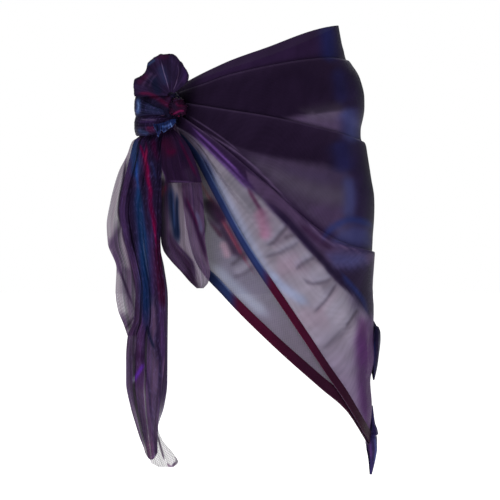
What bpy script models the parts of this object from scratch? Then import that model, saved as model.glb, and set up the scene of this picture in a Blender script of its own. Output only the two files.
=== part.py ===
"""A belly dance hip scarf of sheer shot organza, knotted at one hip.

It keeps the hollow form of a worn scarf: a pleated wrap goes round the hips from the knot, a second
layer shows below its hem, and an ear, bands, a rosette, tails and a flap make up the knot.
Metres, +Z up, front at -Y. The origin is on the axis of the hips, level with the knot.
"""

import math

import bmesh
import bpy
from mathutils import Vector

WALL = 0.001
LAYER_STEP = 0.0024
KNOT_ANGLE = 160.0
SIDE_ANGLE = -12.0
BACK_END_ANGLE = -192.0
PANEL_GAP_ANGLE = 0.4
BACK_RISE = 0.0160
BACK_RISE_ANGLE = 24.0
UNDER_LEVEL = -0.0026
HEM_LIFT = 0.0016
HEM_HEIGHT = 0.022
HEM_HEIGHT_AT_KNOT = 0.006
HEM_GROWTH_ANGLE = 45.0
HEM_MOST_OF_DROP = 0.6
TURN = 0.003
KNOT_CENTRE = Vector((-0.178, -0.062, 0.0))

# Below a crest the cloth bulges, then comes to rest on the layer under it, where the tuck leaves room.
BULGE_SHARE = 0.45
BULGE = 0.0012
REST_SHARE = 0.86
REST_GAP = 0.0004
TUCK_ROOM = 0.030
LAYERS_LEFT = 1.9
TOP_BULGE = 0.0008
DRAPE_ROOM = 0.060
DRAPE_FALL = 0.9

# The figure's hips under the cloth, as ellipses. Columns: height, half_width, half_depth.
HIP_FORM = (
    (0.150, 0.1150, 0.087),
    (0.110, 0.1195, 0.091),
    (0.080, 0.1310, 0.098),
    (0.050, 0.1440, 0.106),
    (0.020, 0.1520, 0.111),
    (-0.050, 0.1550, 0.114),
    (-0.120, 0.1650, 0.119),
    (-0.200, 0.1705, 0.121),
    (-0.300, 0.1690, 0.120),
    (-0.450, 0.1675, 0.120),
    (-0.640, 0.1675, 0.120),
)

# Folds that run round the figure's side. Columns: height, and how far out they swell there.
SIDE_SWELL = (
    (0.150, 0.0), (0.100, 0.0015), (0.084, -0.001), (0.056, 0.003), (0.016, 0.001),
    (-0.044, -0.002), (-0.062, 0.001), (-0.110, 0.0), (-0.142, 0.002), (-0.220, 0.0015),
    (-0.258, 0.0), (-0.292, -0.0015), (-0.330, 0.0010), (-0.400, 0.0), (-0.640, 0.0),
)
SIDE_SWELL_ANGLE = 28.0

# Heights of each edge and fold, from the knot to the figure's side, at shares of the way across the front
# view. A crest is a pleat's visible upper fold, and a tuck its hidden lower fold.
FOLD_SHARES = (0.0, 0.125, 0.25, 0.5, 0.75, 0.875, 1.0)
FRONT_FOLDS = (
    ("top_edge", 0.043, 0.062, 0.078, 0.1005, 0.123, 0.132, 0.139),
    ("crest_1", 0.028, 0.040, 0.053, 0.069, 0.080, 0.083, 0.081),
    ("tuck_1", -0.004, -0.008, -0.014, -0.017, -0.008, -0.002, 0.005),
    ("crest_2", 0.0115, 0.005, -0.002, -0.015, -0.032, -0.041, -0.053),
    ("tuck_2", -0.0155, -0.035, -0.053, -0.079, -0.093, -0.100, -0.111),
    ("crest_3", -0.003, -0.031, -0.061, -0.131, -0.203, -0.222, -0.234),
    ("tuck_3", -0.022, -0.049, -0.087, -0.163, -0.242, -0.283, -0.343),
    ("hem", -0.036, -0.070, -0.144, -0.296, -0.422, -0.482, -0.552),
    ("under_top", -0.013, -0.040, -0.075, -0.147, -0.223, -0.260, -0.290),
    ("under_hem", -0.046, -0.250, -0.302, -0.384, -0.456, -0.491, -0.552),
)
BACK_FOLDS = (
    ("top_edge", 0.040, 0.058, 0.072, 0.094, 0.116, 0.128, 0.139),
    ("crest_1", 0.026, 0.036, 0.047, 0.062, 0.074, 0.079, 0.081),
    ("tuck_1", -0.004, -0.008, -0.014, -0.018, -0.010, -0.003, 0.005),
    ("crest_2", 0.011, 0.003, -0.004, -0.017, -0.033, -0.042, -0.053),
    ("tuck_2", -0.015, -0.032, -0.049, -0.075, -0.091, -0.099, -0.111),
    ("crest_3", -0.003, -0.029, -0.056, -0.123, -0.190, -0.213, -0.234),
    ("tuck_3", -0.022, -0.046, -0.081, -0.153, -0.230, -0.277, -0.343),
    ("hem", -0.036, -0.058, -0.106, -0.180, -0.262, -0.312, -0.378),
    ("front_hem", -0.552, -0.552, -0.552, -0.552, -0.552, -0.552, -0.552),
    ("under_top", -0.290, -0.290, -0.290, -0.290, -0.290, -0.290, -0.290),
    ("under_hem", -0.552, -0.552, -0.552, -0.552, -0.552, -0.552, -0.552),
)
PLEATS = ("1", "2", "3")

# Soft folds of the loose cloth below the last pleat. Columns: share of the way down to the hem, swell.
DRAPE = ((0.12, 0.0), (0.34, 0.004), (0.56, -0.001), (0.78, 0.003))

# How far the second layer's soft folds stand out, from its top edge down.
UNDER_SWELLS = (0.0, -0.001, -0.003, -0.001, -0.003, -0.001)

# Hanging ends. Columns: height, the left and right edge in the front view, how far forward the left and
# the right edge hang, and the depth of the folds.
LONG_TAIL = (
    (-0.0258, -0.202, -0.168, -0.062, -0.060, 0.013),
    (-0.0425, -0.208, -0.171, -0.0655, -0.065, 0.0145),
    (-0.053, -0.2185, -0.173, -0.069, -0.068, 0.015),
    (-0.083, -0.226, -0.178, -0.082, -0.080, 0.016),
    (-0.124, -0.236, -0.180, -0.083, -0.081, 0.018),
    (-0.165, -0.243, -0.180, -0.084, -0.081, 0.020),
    (-0.206, -0.236, -0.180, -0.084, -0.081, 0.021),
    (-0.251, -0.224, -0.174, -0.083, -0.080, 0.020),
    (-0.297, -0.216, -0.168, -0.082, -0.080, 0.019),
    (-0.345, -0.219, -0.167, -0.082, -0.080, 0.018),
    (-0.372, -0.2290, -0.167, -0.082, -0.080, 0.018),
    (-0.406, -0.2315, -0.168, -0.082, -0.080, 0.018),
    (-0.446, -0.2315, -0.172, -0.082, -0.080, 0.017),
    (-0.485, -0.2245, -0.176, -0.081, -0.080, 0.016),
    (-0.520, -0.2145, -0.179, -0.081, -0.080, 0.015),
    (-0.550, -0.2055, -0.180, -0.080, -0.080, 0.014),
    (-0.572, -0.2010, -0.180, -0.080, -0.080, 0.013),
)
VEIL_TAIL = (
    (-0.0212, -0.201, -0.188, -0.046, -0.047, 0.004),
    (-0.043, -0.207, -0.191, -0.048, -0.050, 0.004),
    (-0.053, -0.222, -0.193, -0.050, -0.052, 0.005),
    (-0.076, -0.2310, -0.195, -0.052, -0.056, 0.006),
    (-0.102, -0.2440, -0.197, -0.053, -0.061, 0.007),
    (-0.129, -0.2525, -0.200, -0.054, -0.064, 0.009),
    (-0.155, -0.2585, -0.202, -0.054, -0.064, 0.010),
    (-0.190, -0.2640, -0.203, -0.053, -0.064, 0.012),
    (-0.221, -0.2620, -0.204, -0.053, -0.064, 0.013),
    (-0.261, -0.2480, -0.205, -0.054, -0.064, 0.012),
    (-0.300, -0.2495, -0.205, -0.055, -0.064, 0.011),
    (-0.327, -0.2460, -0.205, -0.056, -0.064, 0.009),
    (-0.353, -0.2360, -0.206, -0.057, -0.064, 0.007),
    (-0.371, -0.2300, -0.209, -0.058, -0.064, 0.006),
)
INNER_TAIL = (
    (-0.0262, -0.184, -0.166, -0.056, -0.058, 0.005),
    (-0.080, -0.190, -0.170, -0.056, -0.058, 0.007),
    (-0.148, -0.194, -0.178, -0.056, -0.058, 0.009),
    (-0.225, -0.195, -0.176, -0.056, -0.058, 0.010),
    (-0.261, -0.195, -0.1695, -0.056, -0.058, 0.010),
    (-0.314, -0.195, -0.1635, -0.056, -0.058, 0.011),
    (-0.380, -0.196, -0.1640, -0.056, -0.060, 0.011),
    (-0.446, -0.196, -0.1645, -0.057, -0.061, 0.010),
    (-0.485, -0.196, -0.1695, -0.058, -0.062, 0.009),
    (-0.520, -0.196, -0.1795, -0.060, -0.064, 0.008),
    (-0.540, -0.195, -0.1730, -0.061, -0.066, 0.008),
    (-0.562, -0.195, -0.1550, -0.062, -0.068, 0.007),
    (-0.577, -0.192, -0.1465, -0.063, -0.070, 0.006),
    (-0.585, -0.180, -0.1540, -0.064, -0.069, 0.005),
)
SHORT_TAIL = (
    (-0.0199, -0.166, -0.154, -0.074, -0.072, 0.003),
    (-0.050, -0.169, -0.140, -0.076, -0.086, 0.005),
    (-0.091, -0.175, -0.120, -0.072, -0.104, 0.008),
    (-0.132, -0.176, -0.107, -0.071, -0.114, 0.010),
    (-0.173, -0.176, -0.104, -0.070, -0.120, 0.011),
    (-0.214, -0.175, -0.102, -0.070, -0.123, 0.011),
    (-0.231, -0.171, -0.100, -0.072, -0.124, 0.010),
    (-0.248, -0.159, -0.097, -0.080, -0.126, 0.009),
    (-0.266, -0.142, -0.094, -0.092, -0.127, 0.007),
    (-0.283, -0.127, -0.097, -0.102, -0.124, 0.005),
    (-0.293, -0.116, -0.105, -0.110, -0.118, 0.004),
)
FLAP = (
    (-0.032, -0.169, -0.157, -0.086, -0.083, 0.002),
    (-0.046, -0.172, -0.142, -0.090, -0.097, 0.002),
    (-0.060, -0.174, -0.131, -0.090, -0.107, 0.003),
    (-0.088, -0.175, -0.118, -0.090, -0.118, 0.003),
    (-0.108, -0.170, -0.111, -0.093, -0.125, 0.003),
    (-0.122, -0.165, -0.107, -0.096, -0.128, 0.002),
)

# How the cloth of a tail doubles back across its width. Columns: share of the width, share of the fold.
LONG_TAIL_FOLDS = (
    (0.00, 0.10), (0.14, 0.22), (0.30, 0.04), (0.44, 0.10), (0.48, 0.24), (0.36, 0.38),
    (0.24, 0.48), (0.26, 0.62), (0.42, 0.66), (0.62, 0.56), (0.74, 0.62), (0.74, 0.76),
    (0.60, 0.84), (0.54, 0.95), (0.66, 1.04), (0.86, 0.90), (1.00, 0.70),
)
VEIL_FOLDS = (
    (0.00, 0.30), (0.18, 0.80), (0.38, 0.20), (0.58, 0.75), (0.80, 0.15), (1.00, 0.45),
)
INNER_TAIL_FOLDS = (
    (0.00, 0.20), (0.22, 0.85), (0.46, 0.15), (0.72, 0.90), (1.00, 0.30),
)
SHORT_TAIL_FOLDS = (
    (0.00, 0.30), (0.20, 0.85), (0.42, 0.30), (0.62, 0.90), (0.82, 0.25), (1.00, 0.50),
)
FLAP_FOLDS = ((0.00, 0.20), (0.30, 0.75), (0.65, 0.45), (1.00, 0.90))

# The knot's ear. Columns: direction from the pinch in degrees, and how far the loop reaches.
EAR_PINCH = Vector((-0.158, -0.0949, 0.0195))
EAR_OUTLINE = (
    (181.0, 0.0600), (170.0, 0.0620), (158.0, 0.0645), (148.0, 0.0600), (136.0, 0.0590),
    (125.0, 0.0645), (112.0, 0.0685), (102.0, 0.0690), (89.0, 0.0700), (76.0, 0.0590),
    (64.0, 0.0520), (52.0, 0.0460), (40.0, 0.0370),
)
EAR_ROOT = 0.006
EAR_HALF_DEPTH = 0.0125
EAR_ROOT_HALF_DEPTH = 0.004
EAR_FULLNESS = 0.75
EAR_CREASE = 0.0030
EAR_CREASES = 4.5
EAR_CREASE_FORWARD = 0.8
EAR_CREASE_OUTWARD = 0.6

# Bands round the knot, from the back round the left to the front.
# Columns: plan angle, radius in X, radius in Y, middle height, half of the band's width.
UPPER_BAND = (
    (110.0, 0.0360, 0.0320, 0.005, 0.0110),
    (150.0, 0.0365, 0.0325, 0.005, 0.0140),
    (190.0, 0.0370, 0.0335, 0.003, 0.0155),
    (225.0, 0.0342, 0.0328, -0.001, 0.0115),
    (260.0, 0.0328, 0.0318, -0.006, 0.0070),
    (286.0, 0.0324, 0.0316, -0.009, 0.0040),
)
LOWER_BAND = (
    (110.0, 0.0360, 0.0310, -0.027, 0.0120),
    (150.0, 0.0365, 0.0315, -0.0275, 0.0130),
    (190.0, 0.0370, 0.0330, -0.0280, 0.0138),
    (225.0, 0.0360, 0.0340, -0.0280, 0.0138),
    (265.0, 0.0350, 0.0345, -0.0270, 0.0120),
    (310.0, 0.0360, 0.0345, -0.0260, 0.0070),
)
BAND_CREASE = 0.0012
BAND_CREASES = 3.0
BAND_CROWN = 0.0035

CORE_CENTRE = Vector((-0.1790, -0.0625, 0.004))
CORE_RADII = Vector((0.0290, 0.0295, 0.0300))
ROSETTE_CENTRE = Vector((-0.1454, -0.0862, 0.0000))
ROSETTE_RADII = Vector((0.0128, 0.0095, 0.0150))
ROSETTE_LOBES = 6
ROSETTE_LOBE_DEPTH = 0.10

# Folds that stand out from the wrap at the figure's side. Columns: height, how far the fold stands out,
# and half of the angle round the hips that it takes up.
CORNER_POINT = (
    (-0.488, 0.0010, 1.2),
    (-0.512, 0.0030, 2.2),
    (-0.536, 0.0080, 3.2),
    (-0.555, 0.0115, 3.4),
    (-0.572, 0.0085, 2.6),
    (-0.602, 0.0015, 1.0),
)
SIDE_LOOP = (
    (-0.350, 0.0020, 2.0),
    (-0.366, 0.0085, 5.0),
    (-0.380, 0.0085, 6.0),
    (-0.412, 0.0050, 5.5),
    (-0.426, 0.0035, 4.0),
    (-0.442, 0.0010, 1.5),
)
SIDE_LOOP_ANGLE = -6.0
CORNER_ANGLE = -5.0
RESTING_GAP = 0.0014
ONTO_HEM_FROM = 1.6
ONTO_HEM_OVER = 0.5

# Grid steps of each piece across the cloth or round the hips.
FRONT_STEPS = 22
BACK_STEPS = 20
LONG_TAIL_STEPS = 26
VEIL_STEPS = 10
INNER_TAIL_STEPS = 8
SHORT_TAIL_STEPS = 12
FLAP_STEPS = 6
EAR_STEPS = (20, 8)
BAND_STEPS = (14, 6)
SIDE_FOLD_STEPS = (6, 9)
CORE_STEPS = (16, 8)
ROSETTE_STEPS = (21, 6)

# Columns: colour in linear light, roughness.
FINISHES = {
    "sheer_purple": ((0.030, 0.015, 0.050), 0.40),
    "sheer_mauve": ((0.230, 0.200, 0.260), 0.45),
    "hem_red": ((0.080, 0.010, 0.030), 0.40),
    "shot_blue": ((0.020, 0.040, 0.140), 0.35),
    "shot_red": ((0.170, 0.010, 0.040), 0.35),
}
METAL_SHEEN = 0.15


def clamp(value, low=0.0, high=1.0):
    return max(low, min(high, value))


def ease(value):
    value = clamp(value)
    return value * value * (3 - 2 * value)


def curve_through(places, values, at):
    """A smooth curve through the values, which doesn't overshoot between them."""
    if places[0] > places[-1]:
        places, values = places[::-1], values[::-1]
    at = clamp(at, places[0], places[-1])
    k = 0
    while k < len(places) - 2 and at > places[k + 1]:
        k += 1
    slopes = [(values[i + 1] - values[i]) / (places[i + 1] - places[i]) for i in range(len(places) - 1)]

    def tangent(i):
        if i == 0 or i == len(places) - 1:
            return slopes[min(i, len(slopes) - 1)]
        if slopes[i - 1] * slopes[i] <= 0:
            return 0.0
        return 2 * slopes[i - 1] * slopes[i] / (slopes[i - 1] + slopes[i])

    width = places[k + 1] - places[k]
    s = (at - places[k]) / width
    return (
        (2 * s**3 - 3 * s**2 + 1) * values[k]
        + (s**3 - 2 * s**2 + s) * width * tangent(k)
        + (3 * s**2 - 2 * s**3) * values[k + 1]
        + (s**3 - s**2) * width * tangent(k + 1)
    )


def columns_at(table, at):
    """Every column after the first of a table, read where the first column is at."""
    columns = list(zip(*table))
    return [curve_through(columns[0], column, at) for column in columns[1:]]


def along_path(table, share):
    """A point on the smooth path through a table's rows, at a share of the number of rows."""
    steps = [float(i) for i in range(len(table))]
    return [curve_through(steps, column, share * steps[-1]) for column in zip(*table)]


def hip_point(angle, height, out):
    """The point at an angle from the figure's side towards the front, out from the hips."""
    half_width, half_depth = columns_at(HIP_FORM, height)
    (swell,) = columns_at(SIDE_SWELL, height)
    out += swell * math.exp(-((angle / SIDE_SWELL_ANGLE) ** 2))
    c, s = math.cos(math.radians(angle)), math.sin(math.radians(angle))
    normal = Vector((c / half_width, -s / half_depth, 0.0)).normalized()
    return Vector((half_width * c, -half_depth * s, height)) + normal * out


def rise_to_knot(angle):
    """How far the back's cloth leaves the hips on its way into the knot."""
    return BACK_RISE * ease(1 - (angle - BACK_END_ANGLE) / BACK_RISE_ANGLE)


def fold_height(name, angle):
    """The height of a named edge or fold at an angle."""
    if name == "front_hem":
        name = "hem" if angle >= 0 else "front_hem"
    folds = {row[0]: row[1:] for row in (FRONT_FOLDS if angle >= 0 else BACK_FOLDS)}
    knot = math.cos(math.radians(KNOT_ANGLE if angle >= 0 else 180.0))
    share = (math.cos(math.radians(max(angle, -180.0))) - knot) / (1 - knot)
    return curve_through(FOLD_SHARES, folds[name], share)


def pleat_rows(pleat, next_fold, level, angle):
    """The section of one knife pleat, as (height, out), and the level that the cloth leaves it at."""
    crest = fold_height(f"crest_{pleat}", angle)
    tuck = fold_height(f"tuck_{pleat}", angle)
    following = fold_height(next_fold, angle)
    outer = level + 2 * LAYER_STEP
    rest_height = crest + REST_SHARE * (following - crest)
    room = (tuck - rest_height) / TUCK_ROOM
    leaves_at = outer - LAYERS_LEFT * LAYER_STEP * ease(room)
    bulge_height = crest + BULGE_SHARE * (following - crest)
    below_tuck = min(bulge_height, tuck - 0.5 * TURN)
    bulge_height += ease(4 * room) * (below_tuck - bulge_height)
    rows = [
        (crest - 0.6 * TURN, level),
        (tuck + TURN, level),
        (tuck, level + 0.5 * LAYER_STEP),
        (tuck + TURN, level + LAYER_STEP),
        (crest - TURN, level + LAYER_STEP),
        (crest, level + 1.5 * LAYER_STEP),
        (crest - TURN, outer),
        (bulge_height, outer + BULGE * ease(room)),
        (rest_height, leaves_at + REST_GAP),
    ]
    return rows, leaves_at


def hem_height(angle):
    """How tall the turned-up hem is, measured straight up."""
    grown = ease((KNOT_ANGLE - abs(angle)) / HEM_GROWTH_ANGLE)
    return HEM_HEIGHT_AT_KNOT + (HEM_HEIGHT - HEM_HEIGHT_AT_KNOT) * grown


def wrap_section(angle, hem):
    """The whole section of the wrap at an angle, from its top edge through the pleats to its hem."""
    top = fold_height("top_edge", angle)
    crest = fold_height("crest_1", angle)
    rows = [(top, 0.0), (0.5 * (top + crest), TOP_BULGE)]
    level = 0.0
    for pleat, following in zip(PLEATS, ("crest_2", "crest_3", hem)):
        pleat_part, level = pleat_rows(pleat, following, level, angle)
        if following == hem:
            pleat_part = pleat_part[:-2]
        rows += pleat_part
    outer = rows[-1][1]
    start, end = fold_height("tuck_3", angle), fold_height(hem, angle)
    hem_top = end + min(hem_height(angle), HEM_MOST_OF_DROP * (start - end))
    start = min(rows[-1][0], start + 0.4 * TURN)
    room = ease((start - hem_top) / DRAPE_ROOM)
    for share, swell in DRAPE:
        height = start + share * (hem_top - start)
        rows.append((height, outer * (1 - DRAPE_FALL * ease(share) * room) + swell * room))
    rest = outer * (1 - DRAPE_FALL * room)
    rows += [(hem_top, rest), (0.5 * (hem_top + end), rest), (end, rest)]
    return rows


def front_section(angle):
    return wrap_section(angle, "front_hem")


def back_section(angle):
    return wrap_section(angle, "hem")


def under_section(angle):
    """The second layer, which shows below the first one's hem."""
    top = fold_height("under_top", angle)
    end = fold_height("under_hem", angle)
    hem_top = end + hem_height(angle)
    rows = [
        (top + i / len(UNDER_SWELLS) * (hem_top - top), UNDER_LEVEL + swell)
        for i, swell in enumerate(UNDER_SWELLS)
    ]
    rows += [(hem_top, UNDER_LEVEL), (0.5 * (hem_top + end), UNDER_LEVEL), (end, UNDER_LEVEL)]
    return rows


def finish_object(name, bm, material):
    mesh = bpy.data.meshes.new(name)
    bm.to_mesh(mesh)
    bm.free()
    mesh.materials.append(material)
    mesh.shade_smooth()
    obj = bpy.data.objects.new(name, mesh)
    bpy.data.collections["hip_scarf"].objects.link(obj)
    return obj


def cloth(name, columns, rows, place, material):
    """A wall of cloth: a grid whose point at share (u, v) is place(u, v), thickened both ways."""
    bm = bmesh.new()
    bmesh.ops.create_grid(bm, x_segments=columns, y_segments=rows, size=0.5)
    for vertex in bm.verts:
        vertex.co = place(vertex.co.x + 0.5, vertex.co.y + 0.5)
    obj = finish_object(name, bm, material)
    wall = obj.modifiers.new("wall", "SOLIDIFY")
    wall.thickness = WALL
    wall.offset = 0.0
    return obj


def panel(name, section, angles, material, columns, first=0, last=None, lift=0.0):
    """Cloth round the hips, from one angle to another, through some rows of a section."""
    sections = {}
    count = len(section(angles[0])[first:last]) - 1

    def place(u, v):
        angle = angles[0] + u * (angles[1] - angles[0])
        if u not in sections:
            sections[u] = section(angle)[first:last]
        height, out = sections[u][round(v * count)]
        return hip_point(angle, height, out + lift + rise_to_knot(angle))

    return cloth(name, columns, count, place, material)


def tail(name, table, folds, material, columns):
    """A hanging end of the cloth, folded across its width."""

    def place(u, v):
        height, left, right, left_front, right_front, fold = along_path(table, v)
        across, forward = along_path(folds, u)
        x = left + across * (right - left)
        y = left_front + across * (right_front - left_front) - forward * fold
        return Vector((x, y, height))

    return cloth(name, columns, len(table) - 1, place, material)


def knot_ear(material):
    """The loop of cloth above the knot: up from the pinch, over and down behind, with radial creases."""

    def place(u, v):
        direction, reach = along_path(EAR_OUTLINE, u)
        turn = math.pi * v
        rise = math.sin(turn) ** EAR_FULLNESS
        distance = EAR_ROOT + (reach - EAR_ROOT) * rise
        half_depth = EAR_ROOT_HALF_DEPTH + (EAR_HALF_DEPTH - EAR_ROOT_HALF_DEPTH) * math.sin(turn)
        crease = EAR_CREASE * math.cos(2 * math.pi * EAR_CREASES * u) * math.sin(turn) ** 0.5
        a = math.radians(direction)
        y = -math.cos(turn) * (half_depth + EAR_CREASE_FORWARD * crease)
        ripple = distance + EAR_CREASE_OUTWARD * crease
        return EAR_PINCH + Vector((ripple * math.cos(a), y, ripple * math.sin(a)))

    return cloth("knot_ear", *EAR_STEPS, place, material)


def knot_band(name, table, material):
    """A band of cloth that goes round the knot and is creased along its length."""

    def place(u, v):
        angle, radius_x, radius_y, middle, half_width = along_path(table, u)
        across = 2 * v - 1
        crease = BAND_CREASE * math.cos(math.pi * BAND_CREASES * across)
        crown = BAND_CROWN * (1 - across * across)
        a = math.radians(angle)
        return KNOT_CENTRE + Vector((
            (radius_x + crown + crease) * math.cos(a),
            (radius_y + crown + crease) * math.sin(a),
            middle + half_width * across,
        ))

    return cloth(name, *BAND_STEPS, place, material)


def lump(name, centre, radii, lobes, lobe_depth, material, steps):
    """A closed bunch of cloth, its creases running out from its front."""
    bm = bmesh.new()
    bmesh.ops.create_uvsphere(bm, u_segments=steps[0], v_segments=steps[1], radius=1.0)
    for vertex in bm.verts:
        x, y, z = vertex.co
        turn = math.atan2(y, x)
        ring = math.hypot(x, y)
        swell = 1 + lobe_depth * ring * math.cos(lobes * turn) if lobes else 1.0
        vertex.co = centre + Vector((x * swell * radii.x, -z * radii.y, y * swell * radii.z))
    return finish_object(name, bm, material)


def outermost(section, angle, height):
    """How far out a section's cloth reaches at a height, within a little of it."""
    reach = None
    for (z0, out0), (z1, out1) in zip(section(angle), section(angle)[1:]):
        low, high = min(z0, z1) - 2 * TURN, max(z0, z1) + 2 * TURN
        if low <= height <= high:
            reach = max(out0, out1) if reach is None else max(reach, out0, out1)
    return reach


def side_fold(name, table, middle_angle, material):
    """Cloth folded along its length, which stands out from the wrap and the hem that it rests on."""
    top, bottom = table[0][0], table[-1][0]
    hem_end = front_section(middle_angle)[-1][0]

    def place(u, v):
        height = top + v * (bottom - top)
        rise, half_angle = columns_at(table, height)
        turn = math.pi * (u - 0.5)
        rest = outermost(front_section, middle_angle, max(height, hem_end))
        onto_hem = ease((hem_end + ONTO_HEM_FROM * HEM_HEIGHT - height) / (ONTO_HEM_OVER * HEM_HEIGHT))
        out = rest + onto_hem * HEM_LIFT + RESTING_GAP + rise * math.cos(turn)
        return hip_point(middle_angle + half_angle * math.sin(turn), height, out)

    return cloth(name, *SIDE_FOLD_STEPS, place, material)


def cloth_material(name):
    colour, roughness = FINISHES[name]
    material = bpy.data.materials.new(name)
    material.use_nodes = True
    shader = material.node_tree.nodes["Principled BSDF"]
    shader.inputs["Base Color"].default_value = (*colour, 1.0)
    shader.inputs["Roughness"].default_value = roughness
    shader.inputs["Metallic"].default_value = METAL_SHEEN
    return material


def build():
    for obj in list(bpy.data.objects):
        bpy.data.objects.remove(obj, do_unlink=True)
    collection = bpy.data.collections.new("hip_scarf")
    bpy.context.scene.collection.children.link(collection)

    sheer = cloth_material("sheer_purple")
    pale = cloth_material("sheer_mauve")
    hem = cloth_material("hem_red")
    blue = cloth_material("shot_blue")
    red = cloth_material("shot_red")

    front_angles = (KNOT_ANGLE, SIDE_ANGLE)
    back_angles = (SIDE_ANGLE - PANEL_GAP_ANGLE, BACK_END_ANGLE)
    hem_rows = len(front_section(0.0)) - 3
    under_hem_rows = len(under_section(0.0)) - 3
    panel("front_wrap", front_section, front_angles, sheer, FRONT_STEPS)
    panel("front_hem", front_section, front_angles, hem, FRONT_STEPS, first=hem_rows, lift=HEM_LIFT)
    panel("under_wrap", under_section, front_angles, pale, FRONT_STEPS)
    panel("under_hem", under_section, front_angles, hem, FRONT_STEPS, first=under_hem_rows, lift=HEM_LIFT)
    panel("back_wrap", back_section, back_angles, sheer, BACK_STEPS)
    panel("back_hem", back_section, back_angles, hem, BACK_STEPS, first=hem_rows, lift=HEM_LIFT)

    tail("tail_long", LONG_TAIL, LONG_TAIL_FOLDS, blue, LONG_TAIL_STEPS)
    tail("tail_veil", VEIL_TAIL, VEIL_FOLDS, pale, VEIL_STEPS)
    tail("tail_inner", INNER_TAIL, INNER_TAIL_FOLDS, pale, INNER_TAIL_STEPS)
    tail("tail_short", SHORT_TAIL, SHORT_TAIL_FOLDS, sheer, SHORT_TAIL_STEPS)
    tail("tail_flap", FLAP, FLAP_FOLDS, sheer, FLAP_STEPS)

    knot_ear(sheer)
    knot_band("knot_band_upper", UPPER_BAND, blue)
    knot_band("knot_band_lower", LOWER_BAND, blue)
    lump("knot_core", CORE_CENTRE, CORE_RADII, 0, 0.0, red, CORE_STEPS)
    lump(
        "knot_rosette", ROSETTE_CENTRE, ROSETTE_RADII, ROSETTE_LOBES, ROSETTE_LOBE_DEPTH, red,
        ROSETTE_STEPS,
    )

    side_fold("corner_point", CORNER_POINT, CORNER_ANGLE, blue)
    side_fold("side_loop", SIDE_LOOP, SIDE_LOOP_ANGLE, blue)


build()
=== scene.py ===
"""The looks of the hip scarf: sheer shot organza in pleats, soft creases, hems, tails and a knot.

Metres, +Z up, front at -Y, except where a table says millimetres or steps. Each piece follows the form of
the solid that it stands for, so the tables and the functions of the form are the same as the solid's, and
finer steps and creases are added.
"""

import math

import bmesh
import bpy
import numpy as np
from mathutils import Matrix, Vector


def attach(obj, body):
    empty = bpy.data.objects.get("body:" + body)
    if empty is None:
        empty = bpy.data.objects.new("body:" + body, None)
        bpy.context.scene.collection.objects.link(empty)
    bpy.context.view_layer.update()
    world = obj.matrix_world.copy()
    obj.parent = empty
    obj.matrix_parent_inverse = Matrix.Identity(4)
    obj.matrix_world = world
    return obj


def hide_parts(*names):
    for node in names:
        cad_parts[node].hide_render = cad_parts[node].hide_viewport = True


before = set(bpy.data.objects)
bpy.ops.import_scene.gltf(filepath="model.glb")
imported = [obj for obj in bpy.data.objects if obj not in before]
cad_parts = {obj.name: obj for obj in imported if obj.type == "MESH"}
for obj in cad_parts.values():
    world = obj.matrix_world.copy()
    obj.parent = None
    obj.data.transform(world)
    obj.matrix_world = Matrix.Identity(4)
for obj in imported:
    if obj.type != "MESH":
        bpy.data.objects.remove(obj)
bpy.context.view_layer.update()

MM = 0.001
# The paths of streaks, patches and creases are laid out on a square grid with this step.
STEP = 0.00165

# The camera stands level in front of the scarf, and its long lens keeps the outline flat, as in the photo.
CAMERA_DISTANCE = 6.0
VIEW_CENTRE = (-0.0297, -0.2310)
VIEW_WIDTH = 0.825
SENSOR_WIDTH = 36.0
FLOOR_LEVEL = -0.665
FLOOR_HALF_SIZE = 30.0

LAYER_STEP = 0.0024
KNOT_ANGLE = 160.0
SIDE_ANGLE = -12.0
BACK_END_ANGLE = -192.0
HALF_TURN = 180.0
BACK_RISE = 0.0160
BACK_RISE_ANGLE = 24.0
UNDER_LEVEL = -0.0026
HEM_LIFT = 0.0016
HEM_HEIGHT = 0.022
HEM_HEIGHT_AT_KNOT = 0.006
HEM_GROWTH_ANGLE = 45.0
HEM_MOST_OF_DROP = 0.6
TURN = 0.003
KNOT_CENTRE = Vector((-0.178, -0.062, 0.0))

# Below a crest the cloth bulges, then comes to rest on the layer under it, where the tuck leaves room.
BULGE_SHARE = 0.45
BULGE = 0.0012
REST_SHARE = 0.86
REST_GAP = 0.0004
TUCK_ROOM = 0.030
LAYERS_LEFT = 1.9
TOP_BULGE = 0.0008
DRAPE_ROOM = 0.060
DRAPE_FALL = 0.9

# The figure's hips under the cloth, as ellipses. Columns: height, half_width, half_depth.
HIP_FORM = (
    (0.150, 0.1150, 0.087),
    (0.110, 0.1195, 0.091),
    (0.080, 0.1310, 0.098),
    (0.050, 0.1440, 0.106),
    (0.020, 0.1520, 0.111),
    (-0.050, 0.1550, 0.114),
    (-0.120, 0.1650, 0.119),
    (-0.200, 0.1705, 0.121),
    (-0.300, 0.1690, 0.120),
    (-0.450, 0.1675, 0.120),
    (-0.640, 0.1675, 0.120),
)

# Folds that run round the figure's side. Columns: height, and how far out they swell there.
SIDE_SWELL = (
    (0.150, 0.0), (0.100, 0.0015), (0.084, -0.001), (0.056, 0.003), (0.016, 0.001),
    (-0.044, -0.002), (-0.062, 0.001), (-0.110, 0.0), (-0.142, 0.002), (-0.220, 0.0015),
    (-0.258, 0.0), (-0.292, -0.0015), (-0.330, 0.0010), (-0.400, 0.0), (-0.640, 0.0),
)
SIDE_SWELL_ANGLE = 28.0

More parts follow.
